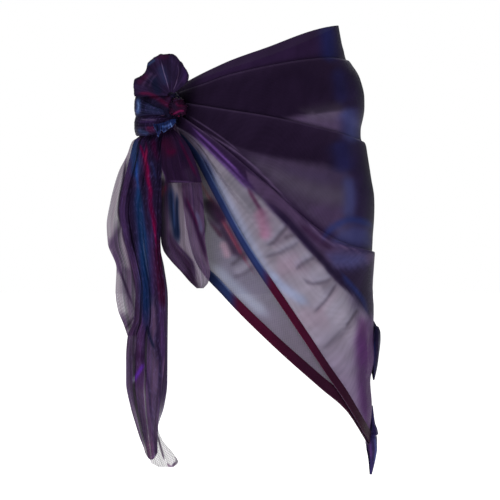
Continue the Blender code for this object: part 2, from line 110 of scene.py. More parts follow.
# Heights in millimetres of each edge and fold, from the knot to the figure's side, at shares of the way
# across the front view. A crest is a pleat's visible upper fold, and a tuck its hidden lower fold.
FOLD_SHARES = (0.0, 0.125, 0.25, 0.5, 0.75, 0.875, 1.0)
FRONT_FOLDS = (
    ("top_edge", 43, 62, 78, 100.5, 123, 132, 139),
    ("crest_1", 28, 40, 53, 69, 80, 83, 81),
    ("tuck_1", -4, -8, -14, -17, -8, -2, 5),
    ("crest_2", 11.5, 5, -2, -15, -32, -41, -53),
    ("tuck_2", -15.5, -35, -53, -79, -93, -100, -111),
    ("crest_3", -3, -31, -61, -131, -203, -222, -234),
    ("tuck_3", -22, -49, -87, -163, -242, -283, -343),
    ("hem", -36, -70, -144, -296, -422, -482, -552),
    ("under_top", -13, -40, -75, -147, -223, -260, -290),
    ("under_hem", -46, -250, -302, -384, -456, -491, -552),
)
BACK_FOLDS = (
    ("top_edge", 40, 58, 72, 94, 116, 128, 139),
    ("crest_1", 26, 36, 47, 62, 74, 79, 81),
    ("tuck_1", -4, -8, -14, -18, -10, -3, 5),
    ("crest_2", 11, 3, -4, -17, -33, -42, -53),
    ("tuck_2", -15, -32, -49, -75, -91, -99, -111),
    ("crest_3", -3, -29, -56, -123, -190, -213, -234),
    ("tuck_3", -22, -46, -81, -153, -230, -277, -343),
    ("hem", -36, -58, -106, -180, -262, -312, -378),
    ("front_hem", -552, -552, -552, -552, -552, -552, -552),
    ("under_top", -290, -290, -290, -290, -290, -290, -290),
    ("under_hem", -552, -552, -552, -552, -552, -552, -552),
)
PLEATS = ("1", "2", "3")

# Soft folds of the loose cloth below the last pleat. Columns: share of the way down to the hem, swell.
DRAPE = ((0.12, 0.0), (0.34, 0.004), (0.56, -0.001), (0.78, 0.003))

# How far the second layer's soft folds stand out, from its top edge down.
UNDER_SWELLS = (0.0, -0.001, -0.003, -0.001, -0.003, -0.001)

# Hanging ends, in millimetres. Columns: height, the left and right edge in the front view, how far forward
# the left and the right edge hang, and the depth of the folds.
LONG_TAIL = (
    (-25.8, -202, -168, -62, -60, 13), (-42.5, -208, -171, -65.5, -65, 14.5),
    (-53, -218.5, -173, -69, -68, 15), (-83, -226, -178, -82, -80, 16),
    (-124, -236, -180, -83, -81, 18), (-165, -243, -180, -84, -81, 20),
    (-206, -236, -180, -84, -81, 21), (-251, -224, -174, -83, -80, 20),
    (-297, -216, -168, -82, -80, 19), (-345, -219, -167, -82, -80, 18),
    (-372, -229, -167, -82, -80, 18), (-406, -231.5, -168, -82, -80, 18),
    (-446, -231.5, -172, -82, -80, 17), (-485, -224.5, -176, -81, -80, 16),
    (-520, -214.5, -179, -81, -80, 15), (-550, -205.5, -180, -80, -80, 14),
    (-572, -201, -180, -80, -80, 13),
)
VEIL_TAIL = (
    (-21.2, -201, -188, -46, -47, 4), (-43, -207, -191, -48, -50, 4),
    (-53, -222, -193, -50, -52, 5), (-76, -231, -195, -52, -56, 6),
    (-102, -244, -197, -53, -61, 7), (-129, -252.5, -200, -54, -64, 9),
    (-155, -258.5, -202, -54, -64, 10), (-190, -264, -203, -53, -64, 12),
    (-221, -262, -204, -53, -64, 13), (-261, -248, -205, -54, -64, 12),
    (-300, -249.5, -205, -55, -64, 11), (-327, -246, -205, -56, -64, 9),
    (-353, -236, -206, -57, -64, 7), (-371, -230, -209, -58, -64, 6),
)
INNER_TAIL = (
    (-26.2, -184, -166, -56, -58, 5), (-80, -190, -170, -56, -58, 7),
    (-148, -194, -178, -56, -58, 9), (-225, -195, -176, -56, -58, 10),
    (-261, -195, -169.5, -56, -58, 10), (-314, -195, -163.5, -56, -58, 11),
    (-380, -196, -164, -56, -60, 11), (-446, -196, -164.5, -57, -61, 10),
    (-485, -196, -169.5, -58, -62, 9), (-520, -196, -179.5, -60, -64, 8),
    (-540, -195, -173, -61, -66, 8), (-562, -195, -155, -62, -68, 7),
    (-577, -192, -146.5, -63, -70, 6), (-585, -180, -154, -64, -69, 5),
)
SHORT_TAIL = (
    (-19.9, -166, -154, -74, -72, 3), (-50, -169, -140, -76, -86, 5),
    (-91, -175, -120, -72, -104, 8), (-132, -176, -107, -71, -114, 10),
    (-173, -176, -104, -70, -120, 11), (-214, -175, -102, -70, -123, 11),
    (-231, -171, -100, -72, -124, 10), (-248, -159, -97, -80, -126, 9),
    (-266, -142, -94, -92, -127, 7), (-283, -127, -97, -102, -124, 5),
    (-293, -116, -105, -110, -118, 4),
)
FLAP = (
    (-32, -169, -157, -86, -83, 2), (-46, -172, -142, -90, -97, 2),
    (-60, -174, -131, -90, -107, 3), (-88, -175, -118, -90, -118, 3),
    (-108, -170, -111, -93, -125, 3), (-122, -165, -107, -96, -128, 2),
)

# How the cloth of a tail doubles back across its width. Columns: share of the width, share of the fold.
LONG_TAIL_FOLDS = (
    (0.00, 0.10), (0.14, 0.22), (0.30, 0.04), (0.44, 0.10), (0.48, 0.24), (0.36, 0.38),
    (0.24, 0.48), (0.26, 0.62), (0.42, 0.66), (0.62, 0.56), (0.74, 0.62), (0.74, 0.76),
    (0.60, 0.84), (0.54, 0.95), (0.66, 1.04), (0.86, 0.90), (1.00, 0.70),
)
VEIL_FOLDS = (
    (0.00, 0.30), (0.18, 0.80), (0.38, 0.20), (0.58, 0.75), (0.80, 0.15), (1.00, 0.45),
)
INNER_TAIL_FOLDS = (
    (0.00, 0.20), (0.22, 0.85), (0.46, 0.15), (0.72, 0.90), (1.00, 0.30),
)
SHORT_TAIL_FOLDS = (
    (0.00, 0.30), (0.20, 0.85), (0.42, 0.30), (0.62, 0.90), (0.82, 0.25), (1.00, 0.50),
)
FLAP_FOLDS = ((0.00, 0.20), (0.30, 0.75), (0.65, 0.45), (1.00, 0.90))

# The knot's ear. Columns: direction from the pinch in degrees, and how far the loop reaches.
EAR_PINCH = Vector((-0.158, -0.0949, 0.0195))
EAR_OUTLINE = (
    (181.0, 0.0600), (170.0, 0.0620), (158.0, 0.0645), (148.0, 0.0600), (136.0, 0.0590),
    (125.0, 0.0645), (112.0, 0.0685), (102.0, 0.0690), (89.0, 0.0700), (76.0, 0.0590),
    (64.0, 0.0520), (52.0, 0.0460), (40.0, 0.0370),
)
EAR_ROOT = 0.006
EAR_HALF_DEPTH = 0.0125
EAR_ROOT_HALF_DEPTH = 0.004
EAR_FULLNESS = 0.75
EAR_CREASE = 0.0030
EAR_CREASE_FORWARD = 0.8
EAR_CREASE_OUTWARD = 0.6

# Bands round the knot, from the back round the left to the front.
# Columns: plan angle, radius in X, radius in Y, middle height, half of the band's width.
UPPER_BAND = (
    (110.0, 0.0360, 0.0320, 0.005, 0.0110),
    (150.0, 0.0365, 0.0325, 0.005, 0.0140),
    (190.0, 0.0370, 0.0335, 0.003, 0.0155),
    (225.0, 0.0342, 0.0328, -0.001, 0.0115),
    (260.0, 0.0328, 0.0318, -0.006, 0.0070),
    (286.0, 0.0324, 0.0316, -0.009, 0.0040),
)
LOWER_BAND = (
    (110.0, 0.0360, 0.0310, -0.027, 0.0120),
    (150.0, 0.0365, 0.0315, -0.0275, 0.0130),
    (190.0, 0.0370, 0.0330, -0.0280, 0.0138),
    (225.0, 0.0360, 0.0340, -0.0280, 0.0138),
    (265.0, 0.0350, 0.0345, -0.0270, 0.0120),
    (310.0, 0.0360, 0.0345, -0.0260, 0.0070),
)
SIDE_LOOP_ANGLE = -6.0
CORNER_ANGLE = -5.0
RESTING_GAP = 0.0014
ONTO_HEM_FROM = 1.6
ONTO_HEM_OVER = 0.5

# The scarf's colours as they look on its cloth, red, green and blue from 0 to 255. Some are painted light
# and shade, as marked below.
COLOURS = {
    "fan_dark": (29, 19, 37),
    "fan": (40, 26, 52),
    "fan_near_knot": (44, 30, 57),
    "window": (80, 66, 92),
    "window_low": (60, 49, 70),
    "fold_dark": (38, 25, 49),
    "pale": (139, 133, 146),
    "pale_low": (118, 105, 128),
    "between_low": (90, 79, 98),
    "between": (98, 92, 112),
    # Painted shade where the wrap rounds away at the figure's side, high up and low down.
    "side_shade": (30, 20, 47),
    "side_low_shade": (56, 35, 68),
    "hem_blue_dark": (20, 28, 56),
    "hem_blue": (40, 50, 92),
    "hem_red": (60, 15, 35),
    "hem_red_dark": (34, 14, 28),
    "veil": (146, 136, 149),
    "tail": (62, 47, 78),
    "tail_low": (88, 72, 98),
    "tail_tip": (184, 175, 184),
    "short_tail": (108, 96, 112),
    "short_tip": (128, 118, 134),
    "flap": (38, 24, 46),
    "ear": (38, 26, 52),
    "band": (24, 22, 47),
    "cuff": (28, 18, 42),
    "gather": (34, 10, 27),
    "heart": (22, 18, 38),
    "frill": (24, 38, 78),
    # Painted highlight along the frill's lower edge.
    "frill_edge_highlight": (96, 118, 166),
    "loop": (26, 22, 48),
    "tip": (42, 34, 74),
    "night_blue": (31, 34, 78),
    "slate_blue": (62, 68, 112),
    "slate_dark": (36, 40, 70),
    "steel_blue": (46, 66, 102),
    # Painted highlights and sheen of the shot cloth: thin bright blue lines, and a pale blue strip along the
    # hems.
    "sky_blue": (70, 96, 150),
    "pale_blue_sheen": (142, 146, 168),
    "navy": (30, 45, 78),
    "navy_deep": (17, 27, 54),
    "ink_blue": (18, 21, 42),
    "violet": (52, 32, 74),
    # Painted highlight along crests, ridges and hem edges.
    "lilac_line": (98, 82, 112),
    "magenta": (88, 42, 92),
    "pink": (152, 110, 134),
    "rust": (100, 38, 60),
    "hot_pink": (128, 44, 84),
    "wine": (60, 20, 48),
    "plum_dark": (42, 24, 48),
    "plum_line": (52, 36, 62),
    "grape": (72, 54, 84),
    "night": (28, 20, 40),
    # Painted highlight along the edges of the violet fold.
    "orchid_highlight": (112, 82, 146),
    "orchid_dark": (64, 36, 76),
    "ultra": (34, 50, 106),
    # Painted pale blue sheen along the hems.
    "sky_pale_sheen": (148, 158, 186),
    "blush": (152, 132, 148),
    # Painted shade in creases, also used for one thin dark hem line on the second layer, and a painted
    # highlight on the creases' ridges.
    "crease_shade_and_dark_line": (62, 54, 68),
    "crease_highlight": (160, 154, 168),
    "rose_line": (136, 78, 100),
    "slate_pale": (128, 136, 162),
    "cerise": (116, 21, 68),
    "cerise_dark": (76, 15, 45),
    "wine_dark": (50, 18, 38),
    "violet_light": (112, 72, 160),
    "veil_dark": (80, 62, 92),
    "grape_dark": (68, 52, 80),
    "dim_violet": (60, 50, 76),
    "dim_green": (84, 82, 88),
    "mesh_purple": (76, 58, 85),
    "mesh_grey": (100, 88, 106),
    # Painted highlight: thin icy blue lines on the knot.
    "ice_blue": (132, 156, 204),
    "tail_grey": (118, 104, 122),
    # Soft painted shade beside broad creases.
    "crease_shade_grey": (96, 90, 106),
    "fold_mid": (70, 55, 80),
}

# Streaks on each piece, as they lie in the front view: thin folds, and painted light and shade. The blue
# bands at the figure's side, the pale and bright blue lines and the lilac and orchid lines are painted sheen
# and highlights; the crease colours are painted shade and highlight along creases.
# Columns: colour, half of the width in steps, strength, path as (x, height) in steps.
FRONT_STREAKS = (
    # Painted sheen: blue bands where the wrap rounds towards the figure's side.
    ("night_blue", 9, 0.8, ((57, 88), (60, 65), (61, 42))),
    ("night_blue", 8, 0.45, ((68, 44), (71, 20), (73, 0))),
    ("slate_blue", 10, 0.7, ((75, 4), (82, -15), (84, -38))),
    ("night_blue", 11, 0.6, ((69, -28), (73, -48), (76, -68))),
    ("slate_blue", 7, 0.6, ((76, -62), (81, -86), (78, -114))),
    ("violet", 4, 0.85, ((-84, -12), (-70, -27), (-56, -40), (-40, -56), (-24, -73), (-6, -91))),
    ("violet", 3, 0.6, ((-10, -87), (12, -107), (32, -128), (52, -150))),
    ("orchid_highlight", 1.1, 0.8, ((-80, -14), (-68, -26), (-54, -39), (-38, -55), (-20, -74))),
    ("orchid_highlight", 1, 0.6, ((-76, -23), (-64, -36), (-48, -52), (-30, -70), (-16, -86))),
    ("lilac_line", 0.9, 0.75, ((-86, -9), (-61, -25), (-30, -45), (-6, -66), (17, -90), (36, -109))),
    ("lilac_line", 0.8, 0.5, ((-84, -4), (-64, -17), (-44, -31), (-22, -49))),
    ("lilac_line", 1.1, 0.75, ((32, -107), (57, -130), (74, -137), (96, -141))),
    ("plum_dark", 3, 0.7, ((28, -112), (50, -131), (68, -141))),
    ("ultra", 3.6, 0.55, ((50, -134), (62, -119), (82, -110), (98, -113), (110, -122))),
    ("night", 4.2, 0.95, ((-10, -82), (0, -93), (19, -112), (39, -134), (55, -152), (70, -169),
        (89, -185), (103, -204))),
    ("ultra", 1.8, 0.8, ((68, -161), (82, -176), (94, -191), (102, -206))),
    ("hem_blue", 4.2, 0.92, ((-75, -32), (-64, -52), (-54, -73), (-44, -93), (-34, -112), (-22, -135),
        (-8, -158))),
    ("pale_blue_sheen", 5, 0.75, ((-59, -50), (-48, -76), (-34, -102), (-19, -130), (-2, -160), (16, -184))),
    ("sky_pale_sheen", 5, 0.7, ((-2, -156), (12, -174), (28, -186), (44, -196))),
    ("wine", 2.2, 0.75, ((-22, -77), (-13, -92), (-7, -103), (-4, -114))),
    ("pink", 6.5, 0.85, ((-11, -96), (-6, -110), (-3, -122), (-4, -134))),
    ("blush", 11, 0.55, ((4, -158), (22, -154), (36, -146))),
    ("blush", 12, 0.4, ((24, -202), (44, -208), (62, -202))),
    ("magenta", 6, 0.6, ((91, -196), (95, -230), (98, -270), (101, -305), (103, -330))),
    ("orchid_dark", 9, 0.8, ((92, -206), (94, -240), (97, -275), (101, -320))),
    ("crease_shade_and_dark_line", 2.2, 0.66, ((-5, -137), (4, -133), (13, -123), (23, -113))),
    ("crease_shade_and_dark_line", 5.5, 0.28, ((4, -140), (14, -130), (26, -120))),
    ("crease_shade_and_dark_line", 2, 0.42, ((14, -130), (22, -126), (31, -125))),
    ("crease_shade_and_dark_line", 2.4, 0.46, ((-8, -148), (7, -144), (22, -137), (34, -130))),
    ("crease_shade_and_dark_line", 2.4, 0.52, ((25, -161), (35, -152), (44, -148), (50, -147))),
    ("crease_shade_and_dark_line", 2.2, 0.5, ((32, -166), (43, -173), (56, -171), (66, -164))),
    ("crease_shade_and_dark_line", 5.5, 0.26, ((50, -180), (60, -176), (70, -168))),
    ("crease_shade_and_dark_line", 1.8, 0.6, ((42, -204), (56, -190), (64, -178), (70, -169))),
    ("crease_shade_and_dark_line", 1.6, 0.56, ((75, -218), (84, -205), (91, -196))),
    ("crease_shade_and_dark_line", 3.2, 0.28, ((50, -240), (70, -224), (88, -208))),
    ("crease_shade_grey", 9, 0.25, ((-30, -66), (-10, -100), (8, -126), (32, -152), (58, -178))),
    ("crease_shade_grey", 4.5, 0.22, ((54, -256), (74, -262), (94, -256))),
    ("crease_highlight", 4, 0.25, ((2, -141), (16, -136), (28, -130))),
    ("crease_highlight", 5, 0.25, ((22, -152), (32, -148), (40, -140))),
    ("crease_highlight", 6, 0.28, ((34, -158), (46, -160), (58, -156))),
    ("crease_highlight", 6, 0.23, ((50, -204), (62, -192), (74, -182))),
    ("crease_highlight", 7, 0.17, ((18, -190), (32, -212), (50, -240))),
)
UNDER_STREAKS = (
    ("mesh_purple", 5.5, 0.75, ((-84, -26), (-72, -48), (-60, -74), (-46, -102), (-31, -128),
        (-16, -154), (-4, -174))),
    ("rust", 2.2, 0.8, ((-90, -24), (-83, -43), (-68, -73), (-53, -97), (-38, -123), (-25, -146),
        (-10, -170))),
    ("rose_line", 0.8, 0.3, ((-87, -36), (-78, -53), (-67, -76), (-52, -100), (-38, -125), (-24, -150))),
    ("pink", 4, 0.6, ((-47, -130), (-42, -140), (-39, -150))),
    ("wine", 2.4, 0.6, ((-59, -109), (-52, -119), (-44, -130))),
    ("slate_pale", 6, 0.6, ((-62, -148), (-42, -168), (-20, -188), (6, -210))),
    ("plum_dark", 5.5, 0.95, ((-65, -91), (-56, -96), (-48, -105), (-43, -116))),
    ("grape", 2, 0.7, ((-62, -106), (-54, -114), (-44, -120))),
    ("crease_shade_and_dark_line", 1.2, 0.85, ((-62, -86), (-65, -100), (-62, -115), (-65, -132))),
    ("crease_shade_and_dark_line", 3, 0.6, ((-74, -76), (-68, -80), (-61, -87))),
    ("crease_shade_and_dark_line", 2, 0.66, ((-40, -157), (-30, -150), (-22, -142), (-16, -136))),
    ("crease_shade_and_dark_line", 2.2, 0.48, ((-38, -168), (-24, -163), (-12, -154))),
    ("crease_highlight", 4, 0.23, ((-36, -163), (-24, -157), (-14, -147))),
    ("crease_shade_grey", 9, 0.25, ((-6, -200), (14, -228), (38, -256))),
)
# The steel blue column near the top of the long end is painted sheen.
LONG_TAIL_STREAKS = (
    ("steel_blue", 5, 0.85, ((-132, -24), (-132, -40), (-131, -56), (-130, -75))),
    ("sky_blue", 1.3, 0.75, ((-130, -42), (-130, -60), (-128, -80), (-127, -105))),
    ("night", 5, 0.9, ((-137, -62), (-134, -90), (-133, -120), (-131, -152))),
    ("navy", 6, 0.95, ((-130, -58), (-127, -90), (-123, -130), (-121, -180), (-120, -210), (-118, -230))),
    ("steel_blue", 3.5, 0.75, ((-129, -68), (-126, -104), (-123, -134), (-122, -170))),
    ("night", 3, 0.95, ((-126, -52), (-123, -72), (-121, -90), (-118, -116), (-115, -136))),
    ("cerise_dark", 2.3, 0.85, ((-129, -31), (-125, -40), (-121, -52), (-120, -64), (-116, -80),
        (-116, -94), (-112, -112), (-110, -138))),
    ("cerise", 1.6, 0.9, ((-121, -30), (-120, -42), (-121, -50), (-118, -62), (-118, -72), (-115, -84),
        (-116, -94))),
    ("cerise", 1.2, 0.7, ((-128, -34), (-124, -43), (-121, -52))),
    ("cerise", 1, 0.8, ((-115, -104), (-112, -120), (-110, -136), (-109, -152))),
    ("wine", 3, 0.8, ((-114, -28), (-112, -42), (-108, -56))),
    ("night", 5, 0.95, ((-117, -38), (-113, -54), (-110, -70), (-108, -90), (-107, -106))),
    ("slate_dark", 1.5, 0.75, ((-116, -50), (-113, -60), (-110, -72))),
    ("wine_dark", 5, 0.85, ((-109, -122), (-108, -152), (-106, -180), (-104, -198))),
    ("night", 2, 0.75, ((-111, -152), (-110, -190), (-109, -230), (-106, -256), (-106, -286),
        (-110, -314))),
    ("night", 1.3, 0.5, ((-123, -220), (-122, -246), (-118, -274), (-115, -302), (-112, -322))),
    ("ink_blue", 1.6, 0.85, ((-121, -210), (-117, -224), (-111, -240))),
    ("tail_grey", 2.6, 0.7, ((-114, -190), (-113, -208), (-112, -226))),
    ("tail_grey", 3, 0.5, ((-115, -242), (-112, -262), (-112, -286))),
    ("tail_grey", 3, 0.75, ((-102, -242), (-101, -264), (-103, -288))),
    ("plum_dark", 5, 0.6, ((-135, -242), (-128, -245), (-120, -247))),
    ("violet_light", 1.9, 0.9, ((-121, -250), (-128, -261), (-136, -274))),
    ("plum_line", 1.2, 0.8, ((-134, -226), (-136, -250), (-134, -280), (-128, -308))),
    ("plum_dark", 2.5, 0.7, ((-114, -314), (-112, -330), (-110, -346))),
    ("blush", 4, 0.6, ((-117, -326), (-118, -338), (-116, -348))),
)
VEIL_STREAKS = (
    ("veil_dark", 4.6, 0.6, ((-138, -36), (-139, -60), (-139, -90), (-138, -125), (-135, -152),
        (-132, -180))),
    ("plum_dark", 1.8, 0.6, ((-134, -40), (-135, -70), (-134, -105), (-132, -140))),
    ("magenta", 1.4, 0.6, ((-132, -75), (-134, -95), (-134, -115))),
    ("plum_line", 1.2, 0.95, ((-140, -42), (-143, -68), (-147, -90), (-148, -103), (-146, -116),
        (-152, -131))),
    ("veil_dark", 2.6, 0.85, ((-146, -114), (-151, -128), (-156, -137), (-157, -144))),
    ("plum_line", 1.4, 0.95, ((-157, -133), (-150, -150), (-141, -176), (-131, -202))),
    ("plum_line", 1.2, 0.9, ((-144, -104), (-144, -122), (-139, -140), (-134, -162), (-130, -190))),
    ("veil_dark", 3, 0.7, ((-154, -140), (-150, -152), (-146, -166))),
    ("veil_dark", 3.6, 0.85, ((-148, -208), (-140, -212), (-131, -216))),
    ("plum_line", 1.2, 0.8, ((-142, -220), (-137, -212), (-131, -204))),
)
INNER_TAIL_STREAKS = (
    ("plum_dark", 3, 0.7, ((-108, -190), (-105, -240), (-107, -290))),
    ("plum_line", 1, 0.8, ((-110, -320), (-106, -336), (-102, -350))),
    ("magenta", 1.2, 0.6, ((-101, -350), (-96, -354), (-90, -349))),
    ("crease_shade_and_dark_line", 1.4, 0.6, ((-92, -342), (-90, -348), (-96, -354))),
)
SHORT_TAIL_STREAKS = (
    ("night", 3, 0.9, ((-108, -86), (-106, -110), (-104, -134))),
    ("grape_dark", 3, 0.5, ((-102, -86), (-101, -112), (-98, -134), (-86, -151), (-76, -166))),
    ("navy_deep", 3.8, 0.98, ((-97, -70), (-95, -95), (-92, -116), (-88, -140))),
    ("slate_blue", 0.9, 0.3, ((-95, -74), (-93, -94), (-91, -112), (-89, -128))),
    ("sky_blue", 0.9, 0.3, ((-94, -90), (-93, -105), (-92, -122))),
    ("navy_deep", 1.8, 0.95, ((-90, -80), (-90, -100), (-89, -122), (-87, -134))),
    ("plum_line", 1.5, 0.95, ((-98, -122), (-90, -135), (-82, -144), (-75, -153), (-71, -174))),
    ("grape", 3, 0.7, ((-103, -138), (-90, -152), (-78, -166))),
    ("plum_dark", 2.6, 0.95, ((-87, -78), (-80, -95), (-73, -110), (-68, -125), (-63, -140),
        (-59, -158))),
    ("wine", 1.2, 0.6, ((-82, -86), (-74, -104), (-68, -120))),
    ("plum_line", 1, 0.9, ((-73, -84), (-65, -95), (-62, -105), (-62, -118), (-66, -132))),
    ("cerise_dark", 2.4, 0.95, ((-112, -76), (-107, -86), (-103, -80), (-100, -74))),
    ("pale_blue_sheen", 2, 0.5, ((-72, -100), (-67, -114), (-65, -126))),
)
FLAP_STREAKS = (
    ("wine_dark", 7, 0.8, ((-105, -28), (-98, -40), (-92, -50))),
    ("cerise_dark", 2, 0.4, ((-102, -42), (-96, -44), (-90, -41))),
    ("night", 4, 0.8, ((-88, -28), (-84, -42), (-80, -56))),
    ("lilac_line", 0.9, 0.85, ((-109, -46), (-106, -58), (-100, -72))),
    ("lilac_line", 0.9, 0.6, ((-100, -72), (-84, -73), (-68, -75))),
    ("cerise_dark", 1.6, 0.45, ((-90, -26), (-80, -48), (-68, -72))),
    ("crease_shade_and_dark_line", 4, 0.3, ((-82, -58), (-78, -66), (-74, -74))),
)
# The ink blue streak at the ear's left is painted shade in the hollow of its fold.
EAR_STREAKS = (
    ("slate_dark", 5, 0.7, ((-107, 44), (-103, 32), (-99, 20))),
    ("night", 4, 0.7, ((-100, 48), (-96, 36), (-94, 22))),
    ("lilac_line", 0.5, 0.8, ((-106, 48), (-103, 36), (-100, 26), (-97, 15))),
    ("lilac_line", 0.5, 0.6, ((-89, 30), (-91, 23), (-94, 16))),
    ("lilac_line", 0.4, 0.4, ((-90, 44), (-88, 36), (-90, 26))),
    ("ink_blue", 4.5, 0.9, ((-114, 33), (-111, 22), (-106, 11))),
    ("night", 2, 0.8, ((-119, 26), (-116, 18), (-112, 12))),
    ("grape", 1.6, 0.45, ((-125, 18), (-120, 28), (-112, 36))),
    ("grape", 1, 0.4, ((-118, 18), (-114, 28), (-108, 34))),
    ("wine", 3, 0.5, ((-111, 53), (-104, 50), (-96, 52))),
    ("wine", 3, 0.6, ((-130, 22), (-124, 28), (-118, 34))),
    ("steel_blue", 1.4, 0.7, ((-122, 40), (-116, 44), (-110, 48))),
    ("violet", 2.5, 0.6, ((-84, 44), (-82, 32), (-85, 22))),
    ("cerise_dark", 1.8, 0.7, ((-130, 14), (-120, 14), (-111, 11), (-104, 6))),
)
UPPER_BAND_STREAKS = (
    ("slate_dark", 6, 0.7, ((-124, 4), (-112, -1), (-100, -6))),
    ("sky_blue", 2.6, 0.7, ((-129, 12), (-128, 2), (-130, -8))),
    ("ice_blue", 0.8, 0.45, ((-129, 8), (-128, 2), (-129, -3))),
    ("lilac_line", 0.7, 0.85, ((-127, 11), (-118, 7), (-108, 3), (-100, -2))),
    ("night", 2, 0.6, ((-125, -8), (-114, -8), (-102, -8))),
    ("rose_line", 0.6, 0.6, ((-122, -9), (-112, -9), (-100, -7))),
)
LOWER_BAND_STREAKS = (
    ("wine", 2.5, 0.8, ((-122, -19), (-116, -22), (-110, -20))),
    ("cerise_dark", 1, 0.6, ((-120, -18), (-116, -20), (-112, -18))),
    ("violet", 1.5, 0.6, ((-130, -14), (-120, -14), (-110, -13))),
    ("steel_blue", 2.5, 0.6, ((-130, -20), (-124, -24), (-116, -26))),
    ("lilac_line", 0.7, 0.6, ((-128, -11), (-118, -12), (-108, -12))),
    ("sky_blue", 1.2, 0.6, ((-111, -28), (-107, -31), (-104, -30))),
)
SIDE_PUFF_STREAKS = (
    ("magenta", 2.2, 0.6, ((98, -214), (99, -240), (100, -268))),
    ("ultra", 1.2, 0.6, ((103, -218), (105, -240), (104, -262))),
    ("night", 1.4, 0.7, ((108, -220), (109, -240), (107, -260))),
)
LOW_CORNER_STREAKS = (
    ("magenta", 2, 0.5, ((99, -314), (101, -334), (104, -352))),
    ("sky_blue", 1.2, 0.55, ((106, -322), (108, -340), (106, -358))),
    ("night", 1.2, 0.6, ((103, -326), (105, -340), (105, -356))),
)
HEART_STREAKS = (
    ("cerise_dark", 2.6, 0.8, ((-122, 14), (-112, 11), (-102, 5), (-94, -2))),
    ("wine", 3, 0.7, ((-102, 14), (-96, 6), (-90, 0))),
    ("night_blue", 2.4, 0.6, ((-108, -12), (-98, -14), (-90, -16))),
)
# The cerise streaks at the gather's right are painted highlights.
GATHER_STREAKS = (
    ("night", 3, 0.6, ((-100, 10), (-94, 2), (-88, -2))),
    ("cerise", 1.1, 0.7, ((-96, -8), (-91, -5), (-86, -3), (-81, -3))),
    ("cerise_dark", 1.2, 0.6, ((-92, 6), (-88, 2), (-82, 2))),
    ("hot_pink", 0.6, 0.5, ((-98, -4), (-95, -8), (-96, -12))),
    ("cerise", 0.8, 0.7, ((-90, -7), (-86, -9), (-82, -8))),
)
# Soft patches of colour. Columns: colour, width of the soft edge, strength, corners as (x, height).
FRONT_PATCHES = (
    ("fold_mid", 1.2, 0.92, ((-22, -62), (2, -78), (32, -108), (54, -130), (77, -140), (106, -144),
        (106, -208), (98, -204), (86, -187), (67, -171), (52, -154), (36, -136), (16, -113), (-6, -89),
        (-20, -72))),
    ("dim_green", 9, 0.34, ((-16, -52), (28, -68), (77, -80), (76, -96), (48, -94), (16, -80))),
    ("dim_violet", 6, 0.45, ((18, -62), (77, -64), (77, -74), (48, -74))),
    ("grape_dark", 7, 0.5, ((42, -96), (76, -98), (72, -112), (58, -120), (44, -106))),
    ("dim_green", 6, 0.3, ((32, -2), (72, 6), (78, -2), (62, -12), (40, -12))),
    ("night", 3, 0.8, ((62, -158), (82, -156), (104, -152), (106, -208), (98, -204), (86, -187),
        (70, -172))),
    ("slate_blue", 7, 0.62, ((58, -145), (72, -142), (96, -144), (98, -153), (82, -158), (64, -156))),
    ("slate_blue", 7, 0.62, ((62, -133), (70, -121), (84, -116), (100, -119), (104, -136), (82, -137))),
    ("dim_green", 8, 0.45, ((-54, -56), (-30, -72), (-10, -96), (-6, -112), (-22, -104), (-42, -76))),
    ("orchid_dark", 7, 0.6, ((88, -208), (104, -208), (106, -290), (100, -324), (94, -294), (90, -250))),
)
UNDER_PATCHES = (
    ("night", 4, 0.92, ((-118, -30), (-90, -30), (-90, -68), (-96, -86), (-99, -126), (-118, -130))),
    ("plum_dark", 5, 0.7, ((-92, -16), (-72, -40), (-62, -68), (-68, -76), (-80, -56), (-92, -36))),
    ("plum_dark", 4, 0.8, ((-68, -86), (-56, -90), (-44, -106), (-30, -130), (-22, -150), (-36, -144),
        (-50, -118), (-62, -102))),
    ("dim_green", 6, 0.6, ((-82, -72), (-64, -74), (-60, -88), (-72, -96), (-80, -90))),
)
LONG_TAIL_PATCHES = (
    ("grape_dark", 4, 0.6, ((-140, -40), (-130, -40), (-128, -80), (-127, -130), (-128, -190),
        (-138, -190), (-142, -130), (-146, -90), (-144, -60))),
    ("night", 5, 0.8, ((-120, -26), (-102, -26), (-102, -90), (-100, -140), (-108, -150), (-114, -110),
        (-118, -70), (-120, -46))),
    ("wine_dark", 4, 0.75, ((-110, -130), (-96, -130), (-96, -190), (-102, -198), (-108, -190))),
    ("mesh_purple", 5, 0.92, ((-142, -152), (-128, -152), (-122, -226), (-118, -260), (-118, -280),
        (-130, -286), (-138, -286), (-144, -260))),
    ("mesh_grey", 6, 0.8, ((-132, -276), (-116, -276), (-110, -306), (-108, -330), (-126, -330),
        (-134, -300))),
    ("mesh_grey", 5, 0.75, ((-116, -186), (-110, -186), (-110, -235), (-106, -258), (-108, -290),
        (-112, -308), (-117, -274), (-120, -242), (-116, -220))),
    ("grape_dark", 4, 0.8, ((-107, -196), (-96, -196), (-96, -260), (-103, -262), (-107, -235))),
    ("tail_tip", 5, 0.6, ((-103, -256), (-96, -256), (-98, -292), (-108, -310), (-105, -285))),
    ("tail_tip", 5, 0.5, ((-118, -324), (-112, -320), (-110, -352), (-122, -352), (-124, -336))),
)
VEIL_PATCHES = (
    ("veil_dark", 4, 0.8, ((-144, -158), (-131, -158), (-129, -206), (-138, -204), (-144, -180))),
    ("grape", 4, 0.7, ((-149, -112), (-155, -130), (-152, -146), (-144, -166), (-140, -160),
        (-146, -136))),
    ("veil_dark", 5, 0.3, ((-144, -98), (-132, -94), (-130, -140), (-134, -156), (-142, -136))),
    ("grape", 4, 0.6, ((-158, -130), (-148, -126), (-146, -152), (-152, -154))),
    ("grape", 4, 0.6, ((-149, -202), (-130, -204), (-130, -220), (-138, -232), (-144, -220))),
)
